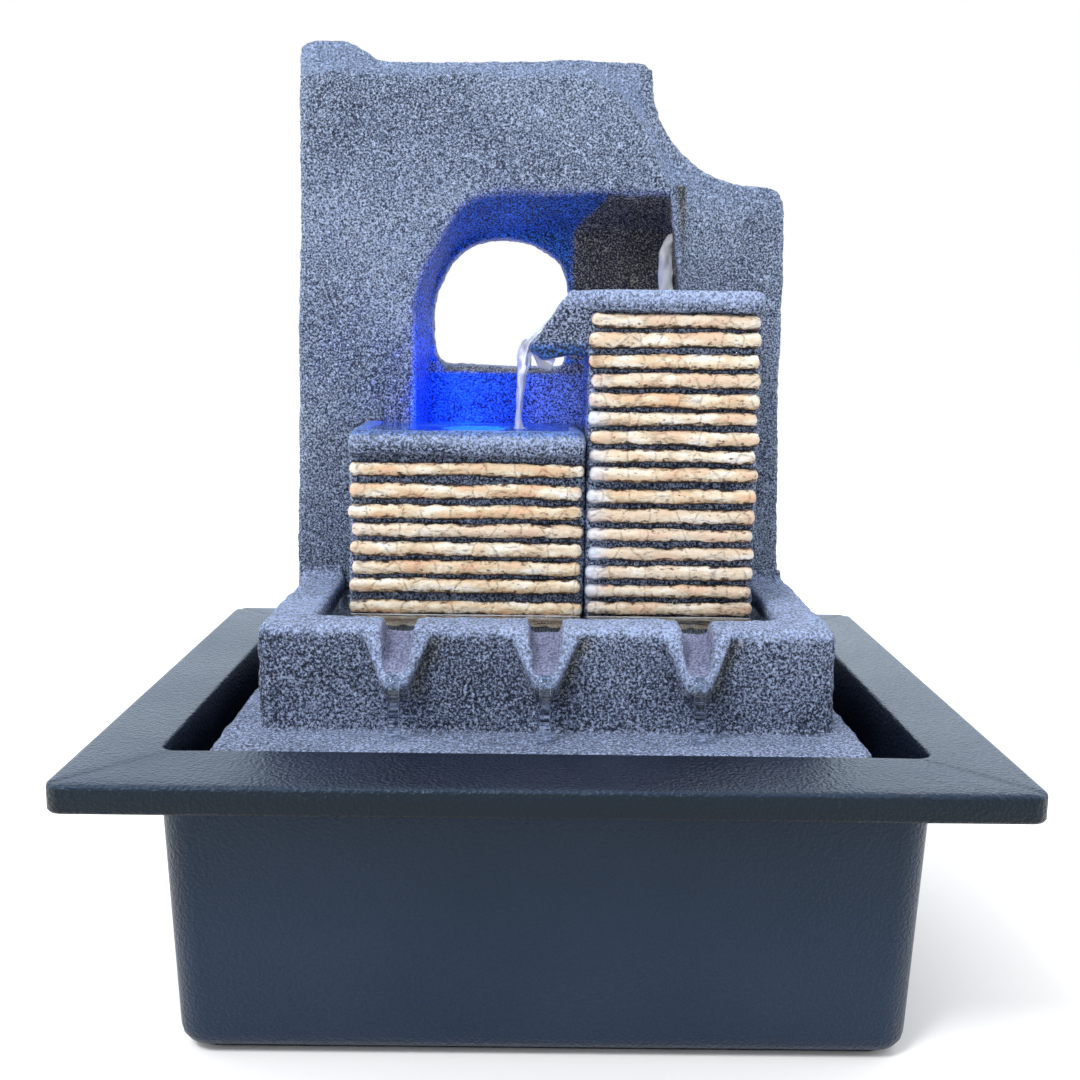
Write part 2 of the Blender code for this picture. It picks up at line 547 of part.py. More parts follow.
def make_light():
    """The underwater lamp in the lower pool's floor, with its board, seal, lens, lead and plug."""
    z = POOL_FLOOR + GAP
    gasket = sleeve("led_gasket", 9.3 * MM, 11.5 * MM, (LED_X, LED_Y, z), 0.8 * MM)
    finish(gasket, RUBBER)
    flange = z + 1.1 * MM
    profile = [(7.4 * MM, 1.6 * MM), (11.5 * MM, 1.6 * MM), (11.5 * MM, 0), (9.0 * MM, 0),
               (9.0 * MM, -17.0 * MM), (1.7 * MM, -17.0 * MM), (1.7 * MM, -15.4 * MM), (7.4 * MM, -15.4 * MM)]
    finish(turned("led_housing", profile[::-1], (LED_X, LED_Y, flange)), PUMP_PLASTIC)
    board = turned("led_board", [(0, 0), (6.9 * MM, 0), (6.9 * MM, 1.2 * MM), (2.2 * MM, 1.2 * MM),
                                 (2.2 * MM, 2.2 * MM), (0, 2.2 * MM)], (LED_X, LED_Y, flange - 9.0 * MM))
    finish(board, BOARD)
    dome = [(0, -3.0 * MM), (7.0 * MM, -3.0 * MM), (7.0 * MM, 1.9 * MM), (9.0 * MM, 1.9 * MM),
            (8.4 * MM, 2.8 * MM), (5.5 * MM, 3.9 * MM), (0, 4.3 * MM)]
    finish(turned("led_lens", dome, (LED_X, LED_Y, flange)), CLEAR)
    housing_foot = flange - 17.0 * MM
    plug_top = 53.0 * MM
    route = smooth_route([(LED_X, LED_Y, housing_foot - GAP), (LED_X, LED_Y, 106.0 * MM),
                          (LEAD_X - 2.5 * MM, LEAD_Y, 94.0 * MM), (LEAD_X, LEAD_Y, 84.0 * MM),
                          (LEAD_X + 3.0 * MM, LEAD_Y + 0.5 * MM, 73.0 * MM),
                          (SOCKET_X - 4.0 * MM, SOCKET_Y - 1.0 * MM, 64.0 * MM),
                          (SOCKET_X, SOCKET_Y, plug_top + GAP)], 3.5 * MM)
    finish(tube("led_lead", route, LEAD_RADIUS, 2), RUBBER)
    plug = turned("led_plug", [(0, -4.0 * MM), (1.3 * MM, -4.0 * MM), (1.3 * MM, 0), (3.4 * MM, 0),
                               (3.4 * MM, 4.0 * MM), (2.0 * MM, 6.7 * MM), (0, 6.7 * MM)],
                  (SOCKET_X, SOCKET_Y, plug_top - 6.7 * MM))
    finish(plug, PUMP_PLASTIC)


# Pump

def pump_point(x, across=0.0, up=0.0):
    """A point near the pump, measured along its shaft and from the shaft's axis."""
    return (x, PUMP_Y + across, PUMP_Z + up)


def pump_box(name, low_x, high_x, half_y, half_z, **edges):
    return block(name, pump_point(low_x, -half_y, -half_z), pump_point(high_x, half_y, half_z), **edges)


def suction_places():
    return [(x * MM, PUMP_Y + y * MM) for y in (-10.0, 10.0) for x in (7.0, 29.0)]


def make_pump_housing():
    """The motor's plastic case: a box open to the rear, with a dry well for the rotor in its front."""
    housing = pump_box("pump_housing", HOUSING_REAR, HOUSING_FRONT, PUMP_HALF, PUMP_HALF, upright=2.5 * MM)
    cut(housing, pump_box("motor_space", HOUSING_REAR - 2.0 * MM, 32.5 * MM, 12.6 * MM, 12.6 * MM))
    join(housing, rod("well_tube", WELL_RADIUS + 1.4 * MM, pump_point(19.0 * MM), pump_point(34.0 * MM)))
    cut(housing, rod("rotor_well", WELL_RADIUS, pump_point(20.5 * MM), pump_point(40.0 * MM)))
    for x, y in suction_places():
        cut(housing, rod("cup_socket", 2.2 * MM, (x, y, 5.0 * MM), (x, y, 10.6 * MM), sides=16))
    return finish(housing, PUMP_PLASTIC)


def make_motor():
    """The stator: a U of laminations with a coil round its yoke, and the cap that closes the case."""
    core = pump_box("stator_core", 6.0 * MM, 31.0 * MM, 6.5 * MM, 12.2 * MM)
    cut(core, pump_box("core_window", 11.0 * MM, 35.0 * MM, 9.0 * MM, 8.8 * MM))
    finish(core, LAMINATION)
    coil = pump_box("stator_coil", 3.4 * MM, 14.0 * MM, 11.5 * MM, 8.3 * MM, upright=2.5 * MM)
    cut(coil, pump_box("coil_bore", 5.7 * MM, 11.3 * MM, 6.8 * MM, 12.0 * MM))
    finish(coil, COPPER)
    cap = pump_box("potting_cap", HOUSING_REAR, 2.8 * MM, 12.3 * MM, 12.3 * MM)
    cut(cap, rod("gland_hole", 3.4 * MM, pump_point(-3.0 * MM, 0, 6.0 * MM),
                 pump_point(5.0 * MM, 0, 6.0 * MM)))
    finish(cap, EPOXY)
    gland = turned("cable_gland", [(1.8 * MM, -8.0 * MM), (2.6 * MM, -8.0 * MM), (4.4 * MM, -GAP),
                                   (3.1 * MM, -GAP), (3.1 * MM, 1.8 * MM), (1.8 * MM, 1.8 * MM)],
                   pump_point(HOUSING_REAR, 0, 6.0 * MM), 20, "X")
    finish(gland, RUBBER)


def make_volute():
    """The cover over the impeller, with its inlet holes, bush seat, seal groove and upright nozzle."""
    volute = pump_box("volute_cover", HOUSING_FRONT + GAP, VOLUTE_FRONT, PUMP_HALF, PUMP_HALF,
                      upright=2.0 * MM)
    cut(volute, rod("chamber", 9.6 * MM, pump_point(30.0 * MM), pump_point(43.0 * MM)))
    nozzle = rod("nozzle", NOZZLE_OUTER, (NOZZLE_X, NOZZLE_Y, 36.0 * MM), (NOZZLE_X, NOZZLE_Y, NOZZLE_TOP))
    join(volute, nozzle)
    cut(volute, rod("nozzle_bore", NOZZLE_INNER, (NOZZLE_X, NOZZLE_Y, 27.0 * MM),
                    (NOZZLE_X, NOZZLE_Y, 60.0 * MM)),
        rod("bush_seat", 2.9 * MM, pump_point(42.0 * MM), pump_point(50.0 * MM)))
    for number in range(6):
        turn = math.tau * number / 6
        across, up = 6.2 * MM * math.cos(turn), 6.2 * MM * math.sin(turn)
        cut(volute, rod("inlet", 1.7 * MM, pump_point(41.0 * MM, across, up),
                        pump_point(50.0 * MM, across, up), sides=12))
    cut(volute, sleeve("seal_groove", 10.5 * MM, 13.0 * MM, pump_point(34.0 * MM), 3.2 * MM, along="X"))
    finish(volute, PUMP_PLASTIC)
    seal = turned("volute_seal", arc((11.75 * MM, 0.9 * MM), 0.85 * MM, 0, 315, 7),
                  pump_point(HOUSING_FRONT + GAP), 32, "X")
    finish(seal, RUBBER)


def make_rotor():
    """The fixed shaft and its two bushes, and the magnet and impeller that spin on it."""
    finish(rod("rotor_shaft", SHAFT_RADIUS, pump_point(21.2 * MM), pump_point(44.6 * MM), sides=16), CERAMIC)
    for name, start, length in (("shaft_bush_rear", 20.8, 2.2), ("shaft_bush_front", 42.4, 2.4)):
        bush = sleeve(name, SHAFT_RADIUS + 0.12 * MM, 2.6 * MM, pump_point(start * MM), length * MM, 16, "X")
        finish(bush, RUBBER)
    magnet = sleeve("rotor_magnet", SHAFT_RADIUS + 0.12 * MM, 6.3 * MM, pump_point(23.6 * MM), 11.8 * MM, 16,
                    "X")
    finish(magnet, MAGNET)
    wheel = rod("impeller", 3.0 * MM, pump_point(35.9 * MM), pump_point(41.6 * MM), sides=16)
    for number in range(3):
        blade = block(f"blade_{number}", (-2.0 * MM, -8.4 * MM, -0.6 * MM), (2.0 * MM, 8.4 * MM, 0.6 * MM))
        blade.location = pump_point(39.2 * MM)
        blade.rotation_euler = (math.pi * number / 3, 0, 0)
        join(wheel, blade)
    cut(wheel, rod("wheel_bore", SHAFT_RADIUS + 0.12 * MM, pump_point(30.0 * MM), pump_point(50.0 * MM),
                   sides=16))
    finish(wheel, PUMP_PLASTIC)


def dial_hole(name, number, low, high):
    turn = math.tau * number / DIAL_HOLES
    across, up = 5.6 * MM * math.cos(turn), 5.6 * MM * math.sin(turn)
    return rod(name, 1.8 * MM, pump_point(low * MM, across, up), pump_point(high * MM, across, up), sides=12)


def make_strainer():
    """The intake cover that pulls off forward, and the dial on it that sets the flow."""
    cover = pump_box("strainer_cover", VOLUTE_FRONT + GAP, STRAINER_FRONT, 14.0 * MM, 14.0 * MM,
                     upright=2.0 * MM)
    inside = 12.4 * MM
    cut(cover, pump_box("strainer_space", VOLUTE_FRONT - 3.0 * MM, STRAINER_FRONT - 1.6 * MM, inside, inside),
        rod("dial_bore", 1.8 * MM, pump_point(50.0 * MM), pump_point(60.0 * MM), sides=16))
    dial = rod("flow_dial", 9.0 * MM, pump_point(STRAINER_FRONT + GAP), pump_point(59.2 * MM))
    grip = block("dial_grip", pump_point(59.0 * MM, -1.2 * MM, -3.4 * MM),
                 pump_point(62.0 * MM, 1.2 * MM, 3.4 * MM))
    join(dial, rod("dial_pin", 1.7 * MM, pump_point(54.4 * MM), pump_point(59.0 * MM), sides=16), grip)
    for number in range(DIAL_HOLES):
        cut(cover, dial_hole("strainer_hole", number, 50.0, 60.0))
        cut(dial, dial_hole("dial_opening", number, 55.0, 65.0))
    finish(cover, PUMP_PLASTIC)
    finish(dial, PUMP_PLASTIC)


def make_suction_cups():
    for number, (x, y) in enumerate(suction_places(), 1):
        profile = [(0, 1.6 * MM), (6.0 * MM, 0), (6.2 * MM, 0.5 * MM), (2.6 * MM, 3.0 * MM),
                   (1.9 * MM, 3.4 * MM), (1.9 * MM, 6.4 * MM), (0, 6.4 * MM)]
        finish(turned(f"suction_cup_{number}", profile, (x, y, TUB_FLOOR + GAP), 20), RUBBER)


def make_led_socket():
    top = PUMP_Z + PUMP_HALF
    profile = [(0, 0), (4.2 * MM, 0), (4.2 * MM, 6.6 * MM), (1.7 * MM, 6.6 * MM), (1.7 * MM, 2.0 * MM),
               (0, 2.0 * MM)]
    finish(turned("led_socket", profile, (SOCKET_X, SOCKET_Y, top + GAP), 20), PUMP_PLASTIC)


# Bodies

BODIES = {
    "sculpture": ((0.0, 0.0, TUB_FLOOR), ("base_trough", "rear_wall", "low_pillar", "tall_pillar",
                                          "rear_cover",
                                          "cover_screw", "delivery_hose", "outlet_elbow", "led_gasket",
                                          "led_housing", "led_board", "led_lens", "led_lead", "led_plug")),
    "rotor": ((23.6 * MM, PUMP_Y, PUMP_Z), ("rotor_magnet", "impeller")),
    "strainer": ((VOLUTE_FRONT, PUMP_Y, PUMP_Z), ("strainer_cover",)),
    "dial": ((STRAINER_FRONT, PUMP_Y, PUMP_Z), ("flow_dial",)),
}


def parent_bodies():
    """Put each moving body's pieces under an empty on its joint's axis, without moving them."""
    for body, (place, names) in BODIES.items():
        pivot = bpy.data.objects.new(f"{body}_pivot", None)
        pivot.location = place
        collection("water_fountain").objects.link(pivot)
        for piece in collection("water_fountain").objects:
            if piece.type == "MESH" and piece.name.startswith(names):
                piece.parent = pivot
                piece.matrix_parent_inverse = Matrix.Translation(-Vector(place))


def build():
    clear_scene()
    make_basin()
    make_pads()
    make_grommet()
    make_base()
    make_wall()
    make_low_pillar()
    make_tall_pillar()
    make_rear_cover()
    make_hose()
    make_elbow()
    make_light()
    make_pump_housing()
    make_motor()
    make_volute()
    make_rotor()
    make_strainer()
    make_suction_cups()
    make_led_socket()
    parent_bodies()


build()
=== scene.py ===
"""Looks of the tabletop water fountain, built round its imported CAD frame.

Every piece is in metres in the CAD's frame: X right, Y back, Z up, with the table at Z = 0.
"""

import json
import math
import random

import bmesh
import bpy
import numpy as np
from mathutils import Matrix, Vector, noise

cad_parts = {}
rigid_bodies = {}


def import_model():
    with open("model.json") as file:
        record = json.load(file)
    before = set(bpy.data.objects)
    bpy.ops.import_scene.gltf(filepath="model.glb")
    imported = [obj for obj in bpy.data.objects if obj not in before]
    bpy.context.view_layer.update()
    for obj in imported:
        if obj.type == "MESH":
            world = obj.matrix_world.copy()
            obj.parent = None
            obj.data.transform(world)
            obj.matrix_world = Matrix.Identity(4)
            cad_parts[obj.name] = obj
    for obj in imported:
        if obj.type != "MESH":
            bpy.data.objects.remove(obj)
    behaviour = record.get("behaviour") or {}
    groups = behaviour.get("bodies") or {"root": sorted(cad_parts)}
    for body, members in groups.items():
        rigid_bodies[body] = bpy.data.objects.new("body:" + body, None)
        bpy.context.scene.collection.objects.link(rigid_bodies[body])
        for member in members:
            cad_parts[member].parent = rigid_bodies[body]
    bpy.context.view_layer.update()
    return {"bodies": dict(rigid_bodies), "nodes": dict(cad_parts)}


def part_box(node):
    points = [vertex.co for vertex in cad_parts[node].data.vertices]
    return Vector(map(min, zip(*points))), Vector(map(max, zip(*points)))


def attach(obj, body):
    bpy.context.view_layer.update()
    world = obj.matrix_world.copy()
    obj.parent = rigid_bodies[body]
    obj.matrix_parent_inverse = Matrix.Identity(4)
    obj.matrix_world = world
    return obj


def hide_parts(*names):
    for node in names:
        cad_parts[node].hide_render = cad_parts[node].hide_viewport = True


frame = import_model()

MM = 0.001
TUB, SCULPTURE = "tub", "sculpture"
RIM_LOW, RIM_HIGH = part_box("basin_tub")
BASE_LOW, BASE_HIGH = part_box("base_trough")
LOW_LOW, LOW_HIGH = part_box("low_pillar")
TALL_LOW, TALL_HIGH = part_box("tall_pillar")
LENS_LOW, LENS_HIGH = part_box("led_lens")

# The places below are in millimetres
RIM_TOP = RIM_HIGH.z / MM
LENS_PLACE = (LENS_LOW.x + LENS_HIGH.x) / 2 / MM
LIP_PLACES = (-36.2, -0.5, 36.1)
TALL_LEFT = 9.9                 # the taller pillar's left side without its chute
SWEEP_CENTRE, SWEEP_RADIUS = (57.2, 239.5), 30.3    # the curved step down from the wall's top to its tower
# The heights of the strips' middles, from the top down
LOW_STRIPS = (133.3, 127.7, 122.4, 117.5, 112.6, 107.7, 103.0, 97.2, 92.0)
TALL_STRIPS = (171.4, 166.8, 161.5, 156.5, 151.6, 146.9, 142.0, 137.3, 132.5,
               127.2, 121.9, 117.0, 112.1, 107.1, 102.2, 97.6, 93.0)


# ------------ mesh tools

def add_object(name, data):
    added = bpy.data.objects.new(name, data)
    bpy.context.scene.collection.objects.link(added)
    return added


def from_bmesh(name, shape):
    bmesh.ops.recalc_face_normals(shape, faces=shape.faces)
    mesh = bpy.data.meshes.new(name)
    shape.to_mesh(mesh)
    shape.free()
    return add_object(name, mesh)


def bevel(shape, edges, radius):
    bmesh.ops.bevel(shape, geom=edges, offset=radius, segments=6, profile=0.5, affect="EDGES")


def block(name, low, high, upright=0.0, top=0.0, bottom=0.0):
    """A box between two corners in millimetres, with rounded upright, top and bottom edges."""
    low, high = Vector(low) * MM, Vector(high) * MM
    size, middle = high - low, (low + high) / 2
    shape = bmesh.new()
    bmesh.ops.create_cube(shape, size=1.0)
    bmesh.ops.scale(shape, vec=size, verts=shape.verts)
    if upright:
        bevel(shape, [e for e in shape.edges if e.verts[0].co.z * e.verts[1].co.z < 0], upright * MM)
    for radius, level in ((top, size.z / 2), (bottom, -size.z / 2)):
        if radius:
            ring = [e for e in shape.edges if all(abs(v.co.z - level) < 1e-6 for v in e.verts)]
            bevel(shape, ring, radius * MM)
    bmesh.ops.translate(shape, vec=middle, verts=shape.verts)
    return from_bmesh(name, shape)


def hull(name, points):
    """The smallest convex solid round some points in millimetres."""
    shape = bmesh.new()
    for point in points:
        shape.verts.new(Vector(point) * MM)
    bmesh.ops.convex_hull(shape, input=shape.verts)
    return from_bmesh(name, shape)


def slab(name, points, plane, low, high):
    """An outline in millimetres in the XZ or YZ plane, carried from low to high along the third axis."""
    shape = bmesh.new()
    place = (lambda a, b, c: (a, c, b)) if plane == "XZ" else (lambda a, b, c: (c, a, b))
    verts = [shape.verts.new(Vector(place(a, b, low)) * MM) for a, b in points]
    face = shape.faces.new(verts)
    moved = bmesh.ops.extrude_face_region(shape, geom=[face])["geom"]
    along = Vector(place(0, 0, high - low)) * MM
    bmesh.ops.translate(shape, vec=along, verts=[v for v in moved if isinstance(v, bmesh.types.BMVert)])
    return from_bmesh(name, shape)


def rod(name, radius, start, end):
    """A cylinder between two points, in millimetres."""
    start, end = Vector(start) * MM, Vector(end) * MM
    shape = bmesh.new()
    bmesh.ops.create_cone(shape, cap_ends=True, segments=32, radius1=radius * MM, radius2=radius * MM,
                          depth=(end - start).length)
    turn = (end - start).to_track_quat("Z", "Y").to_matrix().to_4x4()
    bmesh.ops.transform(shape, matrix=Matrix.Translation((start + end) / 2) @ turn, verts=shape.verts)
    return from_bmesh(name, shape)


def settle(piece):
    """Apply a piece's modifiers to its mesh."""
    graph = bpy.context.evaluated_depsgraph_get()
    mesh = bpy.data.meshes.new_from_object(piece.evaluated_get(graph))
    piece.modifiers.clear()
    piece.data = mesh
    return piece


def combine(piece, operation, tools):
    for tool in tools:
        modifier = piece.modifiers.new("boolean", "BOOLEAN")
        modifier.operation = operation
        modifier.object = tool
        settle(piece)
        bpy.data.objects.remove(tool)
    return piece


def cut(piece, *tools):
    return combine(piece, "DIFFERENCE", tools)


def join(piece, *tools):
    return combine(piece, "UNION", tools)


def arc(centre, radius, start, end, steps):
    """Points on an arc, from start to end in degrees."""
    turns = [math.radians(start + (end - start) * number / steps) for number in range(steps + 1)]
    return [(centre[0] + radius * math.cos(t), centre[1] + radius * math.sin(t)) for t in turns]


def smooth(points):
    """A smooth open curve through some points."""
    ends = [points[0], *points, points[-1]]
    curve, steps = [], 4
    for before, start, end, after in zip(ends, ends[1:], ends[2:], ends[3:]):
        for number in range(steps):
            t = number / steps
            weights = (-t + 2 * t * t - t ** 3, 2 - 5 * t * t + 3 * t ** 3,
                       t + 4 * t * t - 3 * t ** 3, t ** 3 - t * t)
            near = (before, start, end, after)
            curve.append(tuple(sum(w * p[axis] for w, p in zip(weights, near)) / 2 for axis in (0, 1)))
    return curve + [points[-1]]


def remesh(piece, size, rounds):
    """Even out a solid's faces to one size in millimetres, and soften its edges a little."""
    modifier = piece.modifiers.new("remesh", "REMESH")
    modifier.mode = "VOXEL"
    modifier.voxel_size = size * MM
    soften = piece.modifiers.new("soften", "SMOOTH")
    soften.factor = 0.5
    soften.iterations = rounds
    return settle(piece)


def coordinates(mesh, attribute="co"):
    values = np.zeros(len(mesh.vertices) * 3)
    mesh.vertices.foreach_get(attribute, values)
    return values.reshape(-1, 3)


def set_attribute(mesh, name, values):
    layer = mesh.attributes.get(name) or mesh.attributes.new(name, "FLOAT", "POINT")
    layer.data.foreach_set("value", np.asarray(values, np.float32))


def mark_edges(piece, rounds, scale):
    """Store how far each point stands out from its neighbourhood, for worn edges and darker hollows."""
    before = coordinates(piece.data)
    normals = coordinates(piece.data, "normal")
    probe = add_object("probe", piece.data.copy())
    soften = probe.modifiers.new("soften", "SMOOTH")
    soften.factor = 0.5
    soften.iterations = rounds
    settle(probe)
    proud = ((before - coordinates(probe.data)) * normals).sum(1) / (scale * MM)
    bpy.data.objects.remove(probe)
    set_attribute(piece.data, "proud", np.clip(proud, -1, 1))
    # How far each point faces up, for tops painted lighter as painted light from above.
    set_attribute(piece.data, "upward", normals[:, 2])
    return piece


def roughen(piece, height):
    """Move each point along its normal by height(point in millimetres), which is in millimetres."""
    points = coordinates(piece.data)
    normals = coordinates(piece.data, "normal")
    shifts = np.array([height(Vector(p)) for p in points / MM])
    points += normals * shifts[:, None] * MM
    piece.data.vertices.foreach_set("co", points.ravel())
    piece.data.update()
    return piece


def dress(piece, body, material, replaces=()):
    """Give a piece its material and its body, and hide the CAD nodes that it stands for."""
    piece.data.materials.clear()
    piece.data.materials.append(material)
    piece.data.shade_smooth()
    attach(piece, body)
    if replaces:
        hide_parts(*replaces)
    return piece


# ------------ materials

class Nodes:
    """A node tree and short ways to add to it."""

    def __init__(self, tree):
        self.tree = tree

    def node(self, kind, **values):
        made = self.tree.nodes.new(kind)
        for key, value in values.items():
            setattr(made, key, value)
        return made

    def wire(self, source, target):
        self.tree.links.new(source, target)

    def plug(self, socket, value):
        """Link a socket's value from another socket, or set it."""
        if isinstance(value, bpy.types.NodeSocket):
            self.wire(value, socket)
        else:
            socket.default_value = value

    def paint(self, socket, colour):
        """Link a socket's colour from another socket, or set it."""
        self.plug(socket, colour if isinstance(colour, bpy.types.NodeSocket) else (*colour, 1.0))

    def math(self, operation, a, b=0.0):
        made = self.node("ShaderNodeMath", operation=operation)
        self.plug(made.inputs[0], a)
        self.plug(made.inputs[1], b)
        return made.outputs[0]

    def span(self, value, low, high, to_low=0.0, to_high=1.0):
        """Carry a value from one range to another, held at both ends."""
        made = self.node("ShaderNodeMapRange")
        self.plug(made.inputs["Value"], value)
        for key, number in zip(("From Min", "From Max", "To Min", "To Max"), (low, high, to_low, to_high)):
            made.inputs[key].default_value = number
        return made.outputs["Result"]

    def mix(self, share, a, b, blend="MIX"):
        made = self.node("ShaderNodeMix", data_type="RGBA", blend_type=blend)
        self.plug(made.inputs["Factor"], share)
        self.paint(made.inputs[6], a)
        self.paint(made.inputs[7], b)
        return made.outputs[2]


class Look(Nodes):
    """A material and short ways to add its nodes."""

    def __init__(self, name):
        self.material = bpy.data.materials.new(name)
        self.material.use_nodes = True
        super().__init__(self.material.node_tree)
        self.shader = self.tree.nodes["Principled BSDF"]
        self.place = self.node("ShaderNodeTexCoord").outputs["Object"]

    def stretched(self, scale):
        """The piece's own coordinates, scaled along each axis."""
        mapping = self.node("ShaderNodeMapping")
        self.wire(self.place, mapping.inputs["Vector"])
        mapping.inputs["Scale"].default_value = scale
        return mapping.outputs["Vector"]

    def noise(self, scale, detail=2.0, roughness=0.5, vector=None):
        """Noise with about scale features a metre, from 0 to 1."""
        made = self.node("ShaderNodeTexNoise")
        self.wire(vector or self.place, made.inputs["Vector"])
        made.inputs["Scale"].default_value = scale
        made.inputs["Detail"].default_value = detail
        made.inputs["Roughness"].default_value = roughness
        return made.outputs["Fac"]

    def cells(self, scale, feature, vector=None):
        """Distances in a pattern of cells, about scale of them a metre."""
        made = self.node("ShaderNodeTexVoronoi", feature=feature)
        self.wire(vector or self.place, made.inputs["Vector"])
        made.inputs["Scale"].default_value = scale
        return made.outputs["Distance"]

    def attribute(self, name):
        return self.node("ShaderNodeAttribute", attribute_name=name).outputs["Fac"]

    def ramp(self, value, stops):
        """Colours along a value, from stops of (position, colour)."""
        made = self.node("ShaderNodeValToRGB")
        self.plug(made.inputs["Fac"], value)
        while len(made.color_ramp.elements) < len(stops):
            made.color_ramp.elements.new(0.5)
        for element, (position, colour) in zip(made.color_ramp.elements, stops):
            element.position = position
            element.color = (*colour, 1.0)
        return made.outputs["Color"]

    def bump(self, height, depth):
        """Surface relief, depth metres high for a height from 0 to 1."""
        made = self.node("ShaderNodeBump")
        made.inputs["Distance"].default_value = depth
        self.wire(height, made.inputs["Height"])
        normal = self.shader.inputs["Normal"]
        if normal.is_linked:
            self.wire(normal.links[0].from_socket, made.inputs["Normal"])
        self.wire(made.outputs["Normal"], normal)

    def finish(self, colour, roughness, metallic=0.0, **extra):
        """Set the surface's own values, with extra ones by their sockets' names."""
        self.paint(self.shader.inputs["Base Color"], colour)
        self.plug(self.shader.inputs["Roughness"], roughness)
        self.shader.inputs["Metallic"].default_value = metallic
        for key, value in extra.items():
            self.shader.inputs[key.replace("_", " ").title().replace("Ior", "IOR")].default_value = value
        return self.material


def linear(red, green, blue):
    """A colour given as it looks on a screen, from 0 to 255, as linear light."""
    return tuple(((c / 255 + 0.055) / 1.055) ** 2.4 if c > 10 else c / 255 / 12.92
                 for c in (red, green, blue))


def stone_look(name, scale, dark, middle, light, edge):
    """Sandy cast resin: gritty grain, darker in its hollows, brushed lighter on its peaks and edges, and
    painted lighter on its tops as painted light from above.

    Point attributes mark painted light on tops and bands, painted shade and shadow, wet stone with the lamp's
    blue light painted on, and where the pouring water runs, which is painted lighter and lilac.
    """
    look = Look(name)
    height = look.noise(scale, 4.0, 0.74)
    clouds = look.noise(34, 3.0)
    tone = look.math("ADD", height, look.span(clouds, 0.3, 0.7, -0.025, 0.025))
    colour = look.ramp(tone, [(0.41, dark), (0.495, middle), (0.59, light)])
    brushed_and_lit = look.ramp(tone, [(0.38, tuple(c * 0.3 for c in edge)), (0.5, edge),
                               (0.62, tuple(c * 1.7 for c in edge))])
    # Edges are brushed lighter; tops, and the bands marked on each piece, are painted lighter as painted
    # light from above.
    proud = look.span(look.attribute("proud"), 0.15, 0.75)
    upward = look.span(look.attribute("upward"), 0.5, 0.9, 0.0, 0.5)
    painted_light = look.math("MAXIMUM", look.math("MAXIMUM", proud, upward), look.attribute("painted_light"))
    colour = look.mix(look.math("MULTIPLY", painted_light, 0.92), colour, brushed_and_lit)
    hollow = look.span(look.attribute("proud"), -0.5, -0.1, 0.5, 0.0)
    colour = look.mix(hollow, colour, dark)
    sparkle = look.span(look.noise(scale * 0.7, 1.0), 0.63, 0.7, 0.0, 0.6)
    colour = look.mix(sparkle, colour, tuple(c * 1.5 for c in light))
    # Painted shade and shadow: where marked, the stone turns near-black with a few pale grains.
    shade = look.attribute("shade")
    shadow_grains = look.ramp(tone, [(0.44, linear(6, 7, 10)), (0.52, linear(44, 48, 52)),
                              (0.59, linear(178, 172, 152))])
    colour = look.mix(shade, colour, shadow_grains)
    # Painted lamp light: where marked, the colour is multiplied by a deep blue that stands in for the lamp's
    # light on the wet stone.
    wet_and_lamp_blue = look.attribute("wet_and_lamp_blue")
    painted_lamp_blue = look.ramp(tone, [(0.43, (0.02, 0.08, 0.2)), (0.54, (0.09, 0.38, 0.95))])
    colour = look.mix(wet_and_lamp_blue, colour, look.mix(1.0, colour, painted_lamp_blue, "MULTIPLY"))
    washed = look.attribute("washed")
    colour = look.mix(washed, colour,
                      look.ramp(tone, [(0.38, linear(98, 104, 146)), (0.6, linear(186, 192, 228))]))
    look.bump(height, 1.7 * MM)
    wet = look.math("MAXIMUM", look.math("MAXIMUM", shade, wet_and_lamp_blue), washed)
    roughness = look.math("SUBTRACT", look.span(height, 0.3, 0.7, 0.9, 0.72), look.math("MULTIPLY", wet, 0.3))
    return look.finish(colour, roughness, Specular_IOR_Level=0.4)


# The last colour is for edges brushed lighter and for tops painted lighter as painted light.
WALL_STONE = stone_look("wall_stone", 1900, linear(26, 35, 52), linear(104, 121, 154), linear(198, 214, 242),
                        linear(140, 160, 198))
BASE_STONE = stone_look("base_stone", 1550, linear(10, 15, 27), linear(70, 82, 113), linear(182, 198, 232),
                        linear(166, 184, 224))


